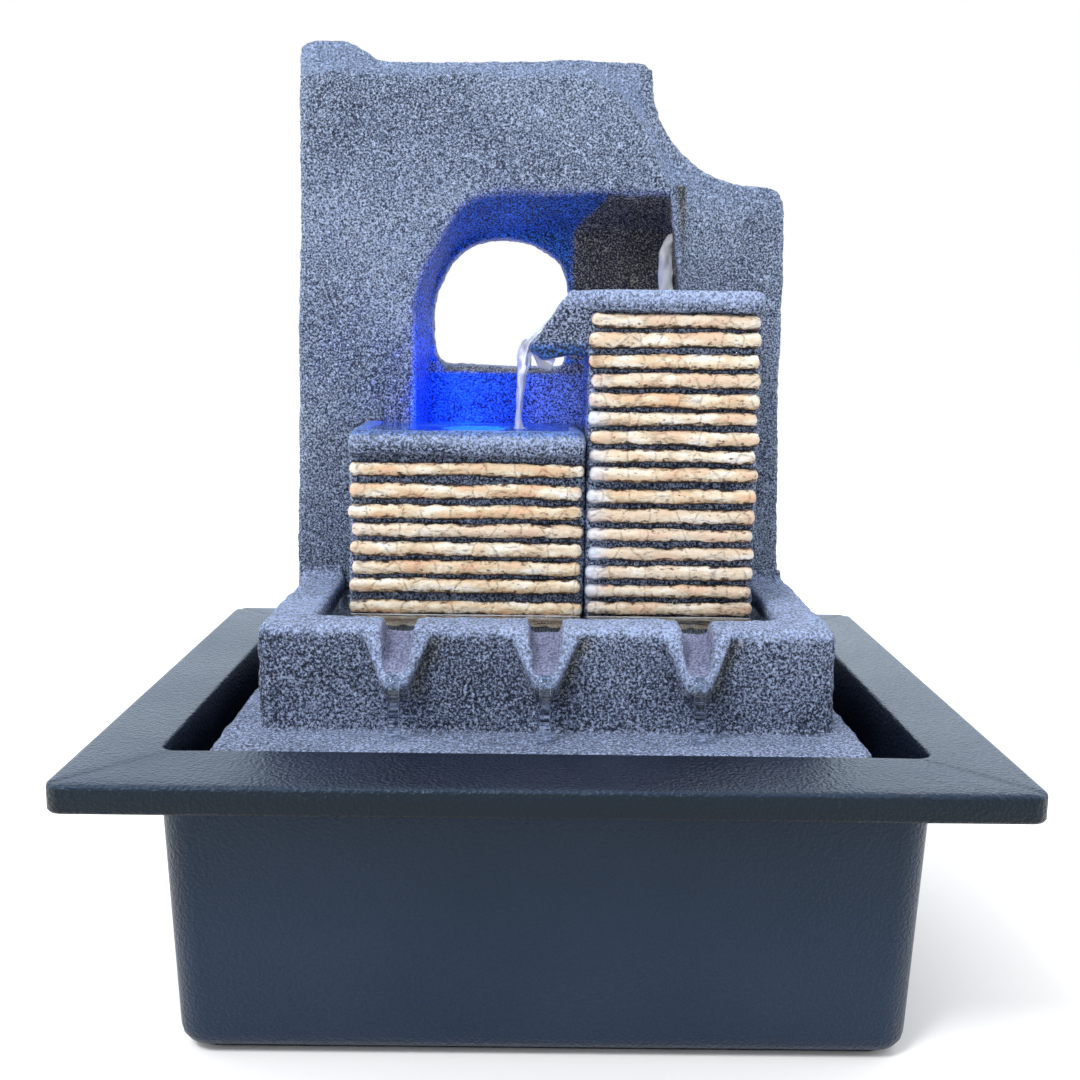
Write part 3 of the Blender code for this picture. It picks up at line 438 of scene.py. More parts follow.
def strip_look():
    """Painted stacked strips: cream, tan and peach, with a dark wash and painted shade between them,
    undersides darker as painted shade, and fine cracks.
    """
    look = Look("strip_paint")
    along = look.stretched((1.0, 1.0, 3.0))
    patches = look.noise(105, 3.0, 0.6, along)
    cream, tan = linear(214, 202, 180), linear(200, 174, 142)
    peach, white = linear(206, 164, 132), linear(222, 220, 220)
    colour = look.ramp(patches, [(0.32, white), (0.44, cream), (0.56, tan), (0.68, peach)])
    tint = look.attribute("strip_tint")
    colour = look.mix(look.span(tint, 0.0, 1.0, 0.0, 0.4), colour, linear(208, 198, 188))
    grit = look.noise(1000, 3.0, 0.62)
    stains = look.noise(380, 3.0, 0.68, along)
    # Darker in the gaps as a dark wash and painted shade, and on each strip's underside as painted shade.
    wash_and_underside_shade = look.attribute("wash_and_underside_shade")
    stain_wash_and_shade = look.math("ADD", wash_and_underside_shade, look.span(stains, 0.3, 0.7, -0.5, 0.24))
    stain_wash_and_shade = look.math("ADD", stain_wash_and_shade, look.span(grit, 0.3, 0.7, -0.2, 0.1))
    brown, black = linear(96, 72, 56), linear(20, 16, 15)
    colour = look.mix(look.span(stain_wash_and_shade, 0.4, 0.66), brown, colour)
    colour = look.mix(look.span(stain_wash_and_shade, 0.22, 0.46), black, colour)
    cracks = look.cells(130, "DISTANCE_TO_EDGE", look.stretched((1.0, 1.0, 0.55)))
    crack = look.math("MULTIPLY", look.span(cracks, 0.0, 0.04, 1.0, 0.0), look.span(stains, 0.42, 0.6))
    colour = look.mix(look.math("MULTIPLY", crack, 0.55), colour, brown)
    colour = look.mix(look.attribute("frost"), colour, linear(190, 204, 232))
    look.bump(look.math("ADD", grit, look.math("MULTIPLY", crack, -0.6)), 0.4 * MM)
    return look.finish(colour, look.span(grit, 0.3, 0.7, 0.42, 0.68))


STRIP_PAINT = strip_look()


def plastic_look(name, colour, roughness, cell, depth, **extra):
    """Moulded plastic with a leather grain of cells about cell metres across, with painted shade and painted
    light where marked.
    """
    look = Look(name)
    grain = look.cells(1.0 / cell, "SMOOTH_F1")
    fine = look.noise(2.5 / cell, 2.0)
    height = look.math("ADD", look.math("MULTIPLY", grain, 0.8), look.math("MULTIPLY", fine, 0.3))
    look.bump(height, depth)
    smudge = look.noise(24, 3.0)
    lighter = tuple(min(1.0, c * 1.35 + 0.004) for c in colour)
    colour = look.mix(look.span(smudge, 0.35, 0.65), colour, lighter)
    # Painted shade: marked places are darkened towards black.
    colour = look.mix(look.attribute("shade"), colour, (0, 0, 0))
    # Painted light: marked places are painted lighter and bluer.
    colour = look.mix(look.attribute("painted_light"), colour, linear(48, 68, 98))
    return look.finish(colour, look.span(smudge, 0.3, 0.7, roughness - 0.05, roughness + 0.07), **extra)


BASIN_PLASTIC = plastic_look("basin_leather_grain", linear(8, 15, 31), 0.32, 0.75 * MM, 0.42 * MM,
                             Specular_IOR_Level=0.32, Specular_Tint=(0.6, 0.8, 1.0, 1.0))
PUMP_PLASTIC = plastic_look("pump_spark_grain", linear(28, 29, 32), 0.45, 0.5 * MM, 0.05 * MM)
COVER_PLASTIC = plastic_look("cover_grain", linear(44, 48, 56), 0.5, 0.8 * MM, 0.08 * MM)
RUBBER = plastic_look("soft_rubber", linear(32, 32, 33), 0.68, 0.7 * MM, 0.06 * MM)
LEAD_PVC = plastic_look("lead_pvc", linear(26, 26, 28), 0.4, 2.0 * MM, 0.04 * MM)


def metal_look(name, colour, roughness, stretch, scale):
    look = Look(name)
    brushing = look.noise(scale, 2.0, 0.6, look.stretched(stretch))
    look.bump(brushing, 0.03 * MM)
    return look.finish(look.mix(brushing, tuple(c * 0.75 for c in colour), colour),
                       look.span(brushing, 0.3, 0.7, roughness - 0.06, roughness + 0.1), 1.0)


SCREW_STEEL = metal_look("screw_steel", linear(178, 178, 182), 0.3, (1, 1, 1), 2600)
LAMINATIONS = metal_look("stator_laminations", linear(120, 120, 126), 0.42, (0.2, 3.0, 0.2), 900)
COPPER = metal_look("coil_copper", linear(184, 104, 58), 0.34, (4.0, 4.0, 0.3), 700)


def plain_look(name, colour, roughness, spread, scale, **extra):
    """A smooth material with a little mottling."""
    look = Look(name)
    mottle = look.noise(scale, 3.0)
    look.bump(mottle, 0.03 * MM)
    return look.finish(look.mix(mottle, colour, tuple(min(1.0, c * spread) for c in colour)),
                       roughness, **extra)


EPOXY = plain_look("potting_epoxy", linear(24, 24, 27), 0.18, 1.5, 180)
FERRITE = plain_look("rotor_ferrite", linear(58, 58, 60), 0.55, 1.4, 900)
CERAMIC = plain_look("shaft_ceramic", linear(232, 230, 222), 0.25, 0.94, 700)
BOARD = plain_look("lamp_board", linear(24, 106, 58), 0.4, 1.3, 500)
HOSE_PVC = plain_look("clear_hose", linear(206, 214, 212), 0.16, 0.92, 120, Transmission_Weight=0.55, IOR=1.5)


def lens_look():
    look = Look("lamp_lens")
    glow = look.noise(260, 2.0)
    look.wire(look.mix(glow, (0.01, 0.1, 1.0), (0.04, 0.26, 1.0)), look.shader.inputs["Emission Color"])
    return look.finish((0.3, 0.5, 1.0), 0.12, Emission_Strength=5.0)


LENS_GLOW = lens_look()


def water_look(name, tint, ripple, depth, clearness):
    look = Look(name)
    look.bump(look.noise(ripple, 2.0), depth)
    return look.finish(tint, 0.02, Transmission_Weight=clearness, IOR=1.33)


WATER = water_look("water", (0.94, 0.97, 1.0), 160, 0.12 * MM, 1.0)
# The lamp's blue light is painted into this water's colour.
LAMP_BLUE_WATER = water_look("water_painted_lamp_blue", (0.12, 0.36, 1.0), 190, 0.2 * MM, 0.85)
FALLING_WATER = water_look("falling_water", (0.96, 0.97, 1.0), 420, 0.3 * MM, 0.7)


# ------------ basin

def make_basin():
    """The tub and its turned-down rim: a rounded front edge, a faint crease at each mitred corner."""
    length, width = (RIM_HIGH.x - RIM_LOW.x) / MM / 2, (RIM_HIGH.y - RIM_LOW.y) / MM / 2
    top = RIM_TOP
    shape = bmesh.new()
    # Rings run from the inner floor up the inside, over the rim, under it and down the outside to the plinth.
    # Each ring is (half length, half width, height, corner radius).
    inner_x, inner_y = 86.7, 64.7
    rings = [(72.0, 50.0, 3.5, 3.0), (81.0, 59.0, 3.5, 4.0), (83.2, 61.2, 3.9, 5.0), (84.0, 62.0, 5.8, 5.5)]
    rings += [(84.1 + 2.4 * t, 62.1 + 2.4 * t, 8 + (top - 10.4) * t, 6.0 - 2.6 * t)
              for t in (0.0, 0.33, 0.67, 1.0)]
    rings += [(inner_x - 0.05, inner_y - 0.05, top - 0.8, 3.3),
              (inner_x + 0.12, inner_y + 0.12, top - 0.3, 3.4),
              (inner_x + 0.5, inner_y + 0.5, top - 0.05, 3.6), (inner_x + 1.1, inner_y + 1.1, top, 3.8)]
    rings += [(inner_x + (length - inner_x) * t, inner_y + (width - inner_y) * t, top - 0.3 * t * t, 3.8)
              for t in (0.35, 0.6, 0.8)]
    rings += [(length - 1.3, width - 1.3, top - 0.32, 3.2), (length - 0.65, width - 0.65, top - 0.48, 3.5),
              (length - 0.18, width - 0.18, top - 0.85, 3.8), (length, width, top - 1.4, 4.0),
              (length, width, top - 6.1, 4.0), (length - 0.3, width - 0.3, top - 6.65, 3.8),
              (length - 1.0, width - 1.0, top - 6.8, 3.4), (length - 1.7, width - 1.7, top - 6.5, 3.0),
              (length - 1.9, width - 1.9, top - 2.7, 2.8), (length - 3.0, width - 3.0, top - 2.2, 2.6)]
    rings += [(91.5, 69.5, top - 2.3, 8.0), (89.6, 67.6, top - 2.8, 8.2), (88.8, 66.8, top - 4.2, 8.0)]
    rings += [(88.6 - 2.3 * t, 66.6 - 2.3 * t, top - 6 - (top - 14) * t, 8.0) for t in (0.0, 0.33, 0.67, 1.0)]
    rings += [(86.1, 64.1, 5.6, 7.6), (85.7, 63.7, 4.0, 7.2), (84.8, 62.8, 2.6, 6.6), (83.4, 61.4, 1.75, 6.0),
              (82.4, 60.4, 1.5, 5.6), (82.2, 60.2, 0.7, 5.4), (81.8, 59.8, 0.5, 5.2), (70.0, 48.0, 0.5, 4.0)]
    corner_steps, side_steps = 10, 14
    loops = []
    for half_x, half_y, z, radius in rings:
        loop = []
        for quarter, (sx, sy) in enumerate(((1, 1), (-1, 1), (-1, -1), (1, -1))):
            centre = (sx * (half_x - radius), sy * (half_y - radius))
            loop += arc(centre, radius, 90 * quarter, 90 * quarter + 90, corner_steps)
            ahead = ((-1, 1), (-1, -1), (1, -1), (1, 1))[quarter]
            start, end = loop[-1], (ahead[0] * (half_x - radius), ahead[1] * (half_y - radius))
            end = (end[0], start[1]) if quarter % 2 == 0 else (start[0], end[1])
            for number in range(1, side_steps):
                share = number / side_steps
                loop.append((start[0] + (end[0] - start[0]) * share, start[1] + (end[1] - start[1]) * share))
        loops.append([shape.verts.new(Vector((x, y, z)) * MM) for x, y in loop])
    for under, over in zip(loops, loops[1:]):
        for i in range(len(under)):
            j = (i + 1) % len(under)
            shape.faces.new((under[i], under[j], over[j], over[i]))
    shape.faces.new(loops[0])
    shape.faces.new(loops[-1])
    bmesh.ops.triangulate(shape, faces=[f for f in shape.faces if len(f.verts) > 4])
    basin = from_bmesh("basin_shell", shape)
    crease_corners(basin, length, width)
    mark_basin(basin)
    return dress(basin, TUB, BASIN_PLASTIC, replaces=["basin_tub"])


def crease_corners(basin, length, width):
    """Press a faint valley into the rim's top along each corner's mitre."""
    points = coordinates(basin.data) / MM
    for index, (x, y, z) in enumerate(points):
        if z < RIM_TOP - 1.2:
            continue
        off_mitre = abs((length - abs(x)) - (width - abs(y)))
        points[index, 2] -= 0.22 * math.exp(-((off_mitre / 1.2) ** 2))
    basin.data.vertices.foreach_set("co", (points * MM).ravel())


def mark_basin(basin):
    """Store the painted shade on the rim's lip and on the tub's top, and the painted light that makes the tub
    lighter downward.
    """
    x, y, z = (coordinates(basin.data) / MM).T
    under_lip = RIM_TOP - 7.0 - z
    on_rim = np.maximum(abs(x) - 88.9, abs(y) - 66.9) > 0
    lip = (z < RIM_TOP - 1.2) * on_rim * 0.9
    tub_top = 0.45 * np.exp(-under_lip / 22.0) * (z < RIM_TOP - 5.0) * ~on_rim
    set_attribute(basin.data, "shade", np.maximum(lip, tub_top))
    # Painted light: the tub's side is painted lighter towards the bottom, as if lit from the floor.
    tub_side = (under_lip > 0) * (z > 0.6) * (np.maximum(abs(x) - 84.6, abs(y) - 62.6) > 0)
    set_attribute(basin.data, "painted_light", tub_side * 0.22 * (1 - np.exp(-under_lip / 30.0)))


# ------------ castings

GROWTH = 0.2                    # makes up for what softening takes off the castings, in millimetres


def lump(point):
    """Broad unevenness of a hand-finished casting, in millimetres."""
    broad = noise.noise(point / 23.0) * 0.35
    middling = noise.noise(point / 7.5 + Vector((7, 3, 1))) * 0.26
    fine = noise.noise(point / 3.2 + Vector((1, 8, 5))) * 0.26
    return broad + middling + fine


def grit(point):
    """Sandy relief of about one grain in a millimetre or two, on top of the broad unevenness."""
    grain = noise.noise(point / 1.35) * 0.26 + noise.noise(point / 0.8 + Vector((3, 9, 4))) * 0.1
    return lump(point) + grain + GROWTH


def finish_casting(piece, size, rounds, top):
    """Give a casting its even mesh and its sandy relief, no higher than top in millimetres."""
    remesh(piece, size, rounds)
    mark_edges(piece, 10, 0.55)
    roughen(piece, grit)
    points = coordinates(piece.data)
    points[:, 2] = np.minimum(points[:, 2], top * MM)
    piece.data.vertices.foreach_set("co", points.ravel())
    return piece


def lip_shape(name, x, corners):
    """A solid that is alike to both sides of a pouring lip."""
    return hull(name, [(x + side * across, y, z) for side in (-1, 1) for across, y, z in corners])


def pouring_lip(x):
    """The solid beak of a pouring lip and the cutter of its channel."""
    beak = lip_shape("beak", x, ((8.2, -36, 97.6), (8.2, -41.2, 96.8), (5.6, -44.6, 91.8),
                                 (3.0, -47.5, 87.2), (2.2, -47.3, 84.5), (2.6, -40, 79.5), (2.6, -36, 79.5)))
    channel = lip_shape("channel", x, ((4.2, -26, 104), (3.9, -26, 96.2), (4.2, -41.5, 104),
                                       (3.6, -42, 90.2), (2.2, -49, 90.0), (1.6, -49, 86.6)))
    return beak, channel


def make_base_casting():
    """The base with its apron, trough, pouring lips, side sweeps and legs."""
    low, high = BASE_LOW / MM, BASE_HIGH / MM
    base = block("base_casting", (-70.1, -40.4, 67), (70.1, 49.9, 98.1), upright=3.6, top=2.6)
    join(base, block("apron", (low.x + 0.2, low.y + 0.2, 66.2), (high.x - 0.2, high.y - 0.2, 71.9),
                     upright=6.0, top=1.6))
    lips = [pouring_lip(x) for x in LIP_PLACES]
    for beak, channel in lips:
        join(base, beak)
    cut(base, block("seat", (-80, 21.6, 86), (80, 60, 120)),
        block("trough", (-58, -29, 86), (58, 40, 110), upright=4.0),
        block("underside", (-53.5, -30, 60), (53.5, 44, 80)))
    for beak, channel in lips:
        cut(base, channel)
    for left, right in ((-70.1, -58.3), (58.3, 67.6)):
        sweep = arc((16.4, 101.9), 4.2, -90, 0, 8)
        join(base, slab("sweep", [(16.4, 95.0)] + sweep + [(21.4, 102.6), (21.4, 95.0)], "YZ", left, right))
    for x in (-60, 60):
        for y in (-32, 44):
            join(base, block("leg", (x - 6, y - 6, 3.8), (x + 6, y + 6, 70)))
    cut(base, rod("hose_hole", 6.5, (46, 31, 75), (46, 31, 90)),
        rod("lead_hole", 3.0, (-12, 8, 75), (-12, 8, 90)))
    finish_casting(base, 0.8, 4, 106.2)
    mark_base(base)
    return dress(base, SCULPTURE, BASE_STONE, replaces=["base_trough"])


def step(values, low, high):
    """A soft step from 0 to 1 between two levels."""
    share = np.clip((values - low) / (high - low), 0, 1)
    return share * share * (3 - 2 * share)


def waver(points, size):
    """Noise from -1 to 1 at some points, with features of about size millimetres, for uneven borders."""
    return np.array([noise.noise(Vector(p) / size) for p in points])


def mark_base(base):
    """Store the base's painted light on its top band and lip rims, painted shade in its trough, painted
    shadows by its lips, and where water runs in the lips.
    """
    points = coordinates(base.data) / MM
    x, y, z = points.T
    wave = waver(points, 2.5)
    # Painted shade: the trough's inside is darkened.
    in_trough = step(58.6 - abs(x), 0, 1.5) * step(y, -30.0, -28.5) * step(95.6 - z, 0, 1.0) * step(z, 84, 85)
    in_trough *= step(22.5 - y, 0, 1)
    # Painted light: a band along the top, lighter as if lit from above.
    top_band = step(z + wave * 1.4, 95.0, 97.2) * (1 - in_trough) * (1 - 0.7 * step(z, 99.0, 101.5))
    washed, rims, shadow = np.zeros(len(x)), np.zeros(len(x)), np.zeros(len(x))
    for place in LIP_PLACES:
        across = abs(x - place)
        down = np.clip((97.0 - z) / 12.0, 0, 1)
        inner, outer = 4.4 - 2.2 * down, 8.6 - 5.4 * down
        inside = (step(inner - across, -0.3, 0.6) * step(-y, 28.5, 29.5) * step(z, 85.6, 87.0)
                  * step(98.2 - z, 0, 1))
        washed = np.maximum(washed, inside * step(46.8 + y, 0, 1.0))
        # Painted light on the rims of each lip.
        on_rim = step(outer - across, -0.6, 0.6) * step(-y, 40.8, 42.0) * step(z, 84.2, 86.0)
        rims = np.maximum(rims, on_rim)
        # Painted shadow cast beside each lip, and under its tip.
        beside = x - place - outer
        cast_shadow_beside = (step(beside, -0.5, 0.5) * step(5.2 + wave * 1.5 - beside, 0, 3.5) * step(z, 77.0, 84.0)
               * step(96.5 - z, 0, 2))
        below = step(3.4 - across, 0, 1.5) * step(z, 78.0, 82.0) * step(85.0 - z, 0, 1)
        shadow = np.maximum(shadow, np.maximum(cast_shadow_beside, 0.7 * below) * step(-y, 39.2, 40.0) * (1 - on_rim))
    set_attribute(base.data, "shade", np.maximum(0.85 * in_trough, 0.7 * shadow))
    set_attribute(base.data, "washed", 0.9 * washed)
    set_attribute(base.data, "painted_light", np.maximum(0.95 * top_band, 0.85 * rims) * (1 - washed))


def wall_outline():
    """The wall from the front, as points in X and Z."""
    raised_corner = smooth([(-65.0, 246.4), (-61.0, 246.4), (-56.5, 246.0), (-52.6, 244.4),
                            (-48.9, 241.9), (-46.0, 241.0)])
    flat_top = [(-10.0, 241.4), (23.8, 242.0), (25.9, 241.3), (27.0, 239.6)]
    sweep = arc(SWEEP_CENTRE, SWEEP_RADIUS, 190, 262, 14)
    tower = [(60.8, 209.0), (63.4, 207.8), (64.7, 205.2), (65.1, 202.0), (65.5, 150.0), (67.0, 106.0)]
    left = [(-68.4, 244.4), (-69.0, 200.0), (-70.2, 150.0), (-71.4, 106.0)]
    return [(-71.5, 86.4), (67.2, 86.4), *tower[::-1], *sweep[::-1], *flat_top[::-1],
            *raised_corner[::-1], *left]


def niche_cutter():
    """The niche: its mouth at the front, and a smaller back that its left side and ceiling slope to."""
    mouth = [(-38.2, 141), (36.6, 141), (36.6, 181), (33.6, 207.4), (-14.8, 207.4),
             (-20, 206.5), (-25.8, 202.5), (-31.0, 193.2), (-35.5, 185), (-38, 177)]
    back = [(-34.8, 141), (35.0, 141), (35.0, 181), (33.2, 198.5), (-14, 197.0), (-21, 195.8), (-27.5, 192.0),
            (-31.8, 185.6), (-34.2, 178)]
    return hull("niche", [(x, 22.0, z) for x, z in mouth] + [(x, 10.0, z) for x, z in mouth]
                + [(x, 36.0, z) for x, z in back])


def hole_cutter():
    """The arched hole, with its lower edge sloping forward."""
    arch = [(5.2, 160.5), (5.9, 175), (5.6, 182), (4.8, 186), (2.9, 189.2), (-0.2, 191.8), (-4.2, 193.8),
            (-8.2, 195.0), (-14, 195.4), (-21, 194), (-26.8, 190.4), (-30.8, 185), (-33.4, 178),
            (-34.3, 170.6), (-33.6, 163.5), (-32.6, 160.6), (-30.2, 159.0)]
    hole = slab("hole", smooth([(3.4, 158.4)] + arch + [(-28.0, 158.8)]), "XZ", 31.0, 52.0)
    sill = slab("sill", [(33.0, 156.9), (36.0, 156.9), (39.5, 159.0), (39.5, 162), (33.0, 162)],
                "YZ", -31.0, 3.2)
    return join(hole, sill)


def make_wall_casting():
    """The rear wall: a thick slab with a raised corner, a set-back tower, the niche and the arched hole."""
    wall = slab("wall_casting", wall_outline(), "XZ", 22.2, 46.8)
    cut(wall, niche_cutter(), hole_cutter())
    cut(wall, block("hose_channel", (39.5, 24.5, 80), (52.5, 52, 202)),
        rod("outlet", 4.5, (30, 31, 195), (46, 31, 195)))
    for x in (36.2, 55.8):
        for z in (94, 197):
            cut(wall, rod("screw_hole", 1.5, (x, 38, z), (x, 52, z)))
    finish_casting(wall, 0.75, 3, 246.25)
    set_back_tower(wall)
    mark_wall(wall)
    return dress(wall, SCULPTURE, WALL_STONE, replaces=["rear_wall"])


# Where the wall's main face ends and its right-hand tower begins: heights, and the edge's X at each
SHOULDER_HEIGHTS = (60.0, 181.0, 207.6, 210.4, 224.7, 233.0, 236.0, 250.0)
SHOULDER_PLACES = (36.8, 36.8, 33.8, 31.6, 25.2, 18.5, 12.0, 8.0)


def mark_wall(wall):
    """Store the wall's painted light along its top, painted shadow at the niche's right, and the wet niche at
    its left with the lamp's blue painted on.
    """
    points = coordinates(wall.data) / MM
    x, y, z = points.T
    wave = waver(points, 5.0)
    beyond_edge = x - np.interp(z, SHOULDER_HEIGHTS, SHOULDER_PLACES)
    # Painted light: a band along the top and along the sweep, and the tower's crown, lighter as if lit from
    # above.
    band = (step(z + wave * 1.2, 236.6, 237.8) * (x < 12)
            + step(beyond_edge + wave, -0.8, 0.8) * (x >= 12) * (z > 208.5))
    from_sweep = np.hypot(x - SWEEP_CENTRE[0], z - SWEEP_CENTRE[1]) - SWEEP_RADIUS
    along_sweep = step(from_sweep + wave * 0.8, 2.4, 3.6)
    crown = step(z + wave, 199.0, 206.0) * (x > 36) * 0.6
    painted_light = np.maximum(band * np.where(x > 22, along_sweep, 1.0), crown)
    inside = step(y, 22.6, 24.4) * (z > 140.5) * (z < 209) * (x > -39) * (x < 37.5) * (y < 38.5)
    lamp_edge = 6.4 + (36.0 - y) / 12.0 * 10.0
    # Painted shadow: past the chute's shadow edge the lamp's light is blocked, and the hole's sill faces away
    # from the lamp.
    past_lamp = step(x - lamp_edge + wave * 0.7, -0.8, 0.8) * step(z, 160, 162)
    sill = step(z, 156.3, 157.0) * (z < 160) * (y > 33)
    # Less of the painted lamp blue on the panel behind the stream, as painted shade.
    behind_stream = step(x, -9.0, -3.0) * step(159 - z, 0, 2)
    set_attribute(wall.data, "painted_light", 0.85 * painted_light * step(30.0 - y, 0, 4))
    set_attribute(wall.data, "shade", inside * np.maximum(0.95 * past_lamp, 0.7 * sill))
    set_attribute(wall.data, "wet_and_lamp_blue", inside * (1 - past_lamp) * (1 - sill) * (1 - 0.5 * behind_stream))


def set_back_tower(wall):
    """Push the front of the right-hand tower back a little, past a shoulder that follows the wall's sweep."""
    points = coordinates(wall.data) / MM
    edge = np.interp(points[:, 2], SHOULDER_HEIGHTS, SHOULDER_PLACES)
    at_front = np.clip((30.0 - points[:, 1]) / 8.0, 0, 1)
    points[:, 1] += 2.8 * step(points[:, 0] - edge, -0.8, 3.6) * at_front
    crown = np.clip((points[:, 2] - 235.6) / 5.0, 0, 1) ** 2
    points[:, 1] += 2.4 * crown * at_front * (points[:, 0] < 27)
    wall.data.vertices.foreach_set("co", (points * MM).ravel())
    wall.data.update()


def pillar_core(name, low, high, cap, rounding):
    """A pillar's casting without its strips: a block and its rounded cap, cap millimetres high."""
    core = block(name, (low.x, low.y + 3.4, low.z), (high.x, high.y, high.z - 3.2), upright=1.2)
    top = block("cap", (low.x - 0.1, low.y + 0.1, high.z - cap), (high.x + 0.1, high.y + 0.1, high.z - 0.1),
                upright=3.2, top=rounding, bottom=0.9)
    return join(core, top)


def mark_cap(core, top, rim_wet_and_lamp_blue):
    """Store that a pillar's cap is painted lighter towards its top as painted light, and how wet its rim is,
    with the lamp's blue painted on.
    """
    points = coordinates(core.data) / MM
    wave = waver(points, 2.5)
    set_attribute(core.data, "painted_light", step(points[:, 2] + wave * 0.9, top - 4.9, top - 1.6))
    set_attribute(core.data, "wet_and_lamp_blue", rim_wet_and_lamp_blue * step(points[:, 2] + wave * 0.4, top - 1.7, top - 0.7))


def make_low_pillar():
    low, high = LOW_LOW / MM, LOW_HIGH / MM
    core = pillar_core("low_pillar_core", low, high, 6.2, 2.7)
    cut(core, block("pool", (-46.8, -12.0, 134), (5.4, 24, 150), upright=4.0, bottom=1.5),
        block("hollow", (-45, -8, 80), (3, 15, 128)), rod("lamp_hole", 9.4, (-20, 6, 120), (-20, 6, 140)))
    finish_casting(core, 0.65, 4, high.z)
    mark_cap(core, high.z, 0.7)
    return dress(core, SCULPTURE, BASE_STONE, replaces=["low_pillar"])


def make_tall_pillar():
    low, high = TALL_LOW / MM, TALL_HIGH / MM
    low.x = TALL_LEFT
    core = pillar_core("tall_pillar_core", low, high, 5.2, 1.9)
    chute = slab("chute", [(13, 179), (5.2, 179), (2.7, 175.9), (-2.6, 168.2), (-4.9, 165.6), (-5.0, 164.4),
                           (-4.2, 163.2), (-1.7, 161.4), (4.0, 163.0), (13, 163)], "XZ", -13.0, 16.0)
    bed = ((16, 174.5), (16, 190), (5.0, 173.4), (-8, 163.6), (-8, 190))
    channel = hull("chute_channel", [(x, y, z) for y in (-8.2, 9.4) for x, z in bed])
    join(core, chute)
    cut(core, channel, block("basin", (14, -12.0, 174), (49.7, 24, 190), upright=4.0, bottom=1.2),
        block("hollow", (16, -8, 80), (47.5, 15, 167)))
    finish_casting(core, 0.65, 4, high.z)
    mark_cap(core, high.z, 0.0)
    x, y, z = (coordinates(core.data) / MM).T
    # The chute's underside is wet, with the lamp's blue light painted on.
    set_attribute(core.data, "wet_and_lamp_blue", 0.95 * step(166.8 - z, 0, 2.5) * step(10.4 - x, 0, 1.5))
    return dress(core, SCULPTURE, BASE_STONE, replaces=["tall_pillar"])


def strip_row(shape, layers, place, rng):
    """One flat-faced strip: wavy, chipped and a little uneven, with rounded ends."""
    left, right, middle, half, front, back, tint, frost = place
    spacing, around = 0.42, 14
    steps = int((right - left) / spacing)
    seed = Vector((rng.uniform(0, 90), rng.uniform(0, 90), rng.uniform(0, 90)))
    rings = []
    for number in range(steps + 1):
        x = left + (right - left) * number / steps
        end = min(x - left, right - x)
        closing = math.sqrt(max(0.0, 1 - max(0.0, 1 - end / 1.5) ** 2))
        sway = noise.noise(Vector((x / 13, middle / 4, 3)) + seed) * 0.42
        swell = 1 + noise.noise(Vector((x / 6, 1, middle)) + seed) * 0.16
        swell += noise.noise(Vector((x / 2.2, 5, middle)) + seed) * 0.1
        ring = []
        for turn in range(around + 1):
            angle = math.pi * (turn / around - 0.5)
            out, up = math.cos(angle), math.sin(angle)
            tall = half * swell * (0.35 + 0.65 * closing)
            deep = (back - front) * (0.62 + 0.38 * closing) * (0.94 + 0.06 * swell)
            nick = noise.noise(Vector((x / 1.3, up * 1.4, middle)) + seed) * 0.2
            nick += noise.noise(Vector((x / 3.1, up, middle)) + seed) * 0.22
            point = Vector((x, back - deep * out ** 0.45 - nick * out,
                            middle + sway + tall * math.copysign(abs(up) ** 0.8, up)))
            # How far out the point stands, raised on the upper side, so that the strip's underside takes
            # painted shade.
            ring.append((shape.verts.new(point * MM), out + 0.22 * up))
        rings.append(ring)
    for ring, after in zip(rings, rings[1:]):
        for a, b, c, d in zip(ring, ring[1:], after[1:], after):
            shape.faces.new((a[0], b[0], c[0], d[0]))
        shape.faces.new((ring[-1][0], ring[0][0], after[0][0], after[-1][0]))
    for ring in (rings[0], rings[-1]):
        shape.faces.new([v for v, wash_and_underside_shade in ring])
    for ring in rings:
        for vert, wash_and_underside_shade in ring:
            vert[layers[0]] = wash_and_underside_shade
            vert[layers[1]] = tint
            vert[layers[2]] = frost * max(0.0, 1 - (vert.co.x / MM - left) / 6.0)


def make_strips(name, low, high, heights, frost, seed):
    """The stack of strips up a pillar's front, at the given heights, with frosted left ends."""
    rng = random.Random(seed)
    shape = bmesh.new()
    layers = [shape.verts.layers.float.new(key) for key in ("wash_and_underside_shade", "strip_tint", "frost")]
    for middle in heights:
        half = 1.98 + rng.uniform(-0.18, 0.14)
        place = (low.x + rng.uniform(-0.3, 0.8), high.x - rng.uniform(-0.2, 0.8),
                 middle + rng.uniform(-0.1, 0.1), half,
                 low.y + 0.6 + rng.uniform(-0.25, 0.45), low.y + 4.6, rng.random(), frost * rng.random())
        strip_row(shape, layers, place, rng)
    bmesh.ops.triangulate(shape, faces=[f for f in shape.faces if len(f.verts) > 4])
    strips = from_bmesh(name, shape)
    return dress(strips, SCULPTURE, STRIP_PAINT)


# ------------ water

def ripple_height(x, y, centres):
    """Rings that spread from where water falls, over a faint swell, in millimetres."""
    height = noise.noise(Vector((x / 9, y / 9, 4))) * 0.12
    for cx, cy, size in centres:
        distance = math.hypot(x - cx, y - cy)
        height += size * math.cos(distance * 1.5) * math.exp(-distance / 7.0)
    return height


def rank(place):
    """A number that sorts places by X, then Y, then Z, told apart to a hundredth of a millimetre."""
    x, y, z = (round(part / MM * 100) for part in place)
    return (x * 1e5 + y) * 1e5 + z


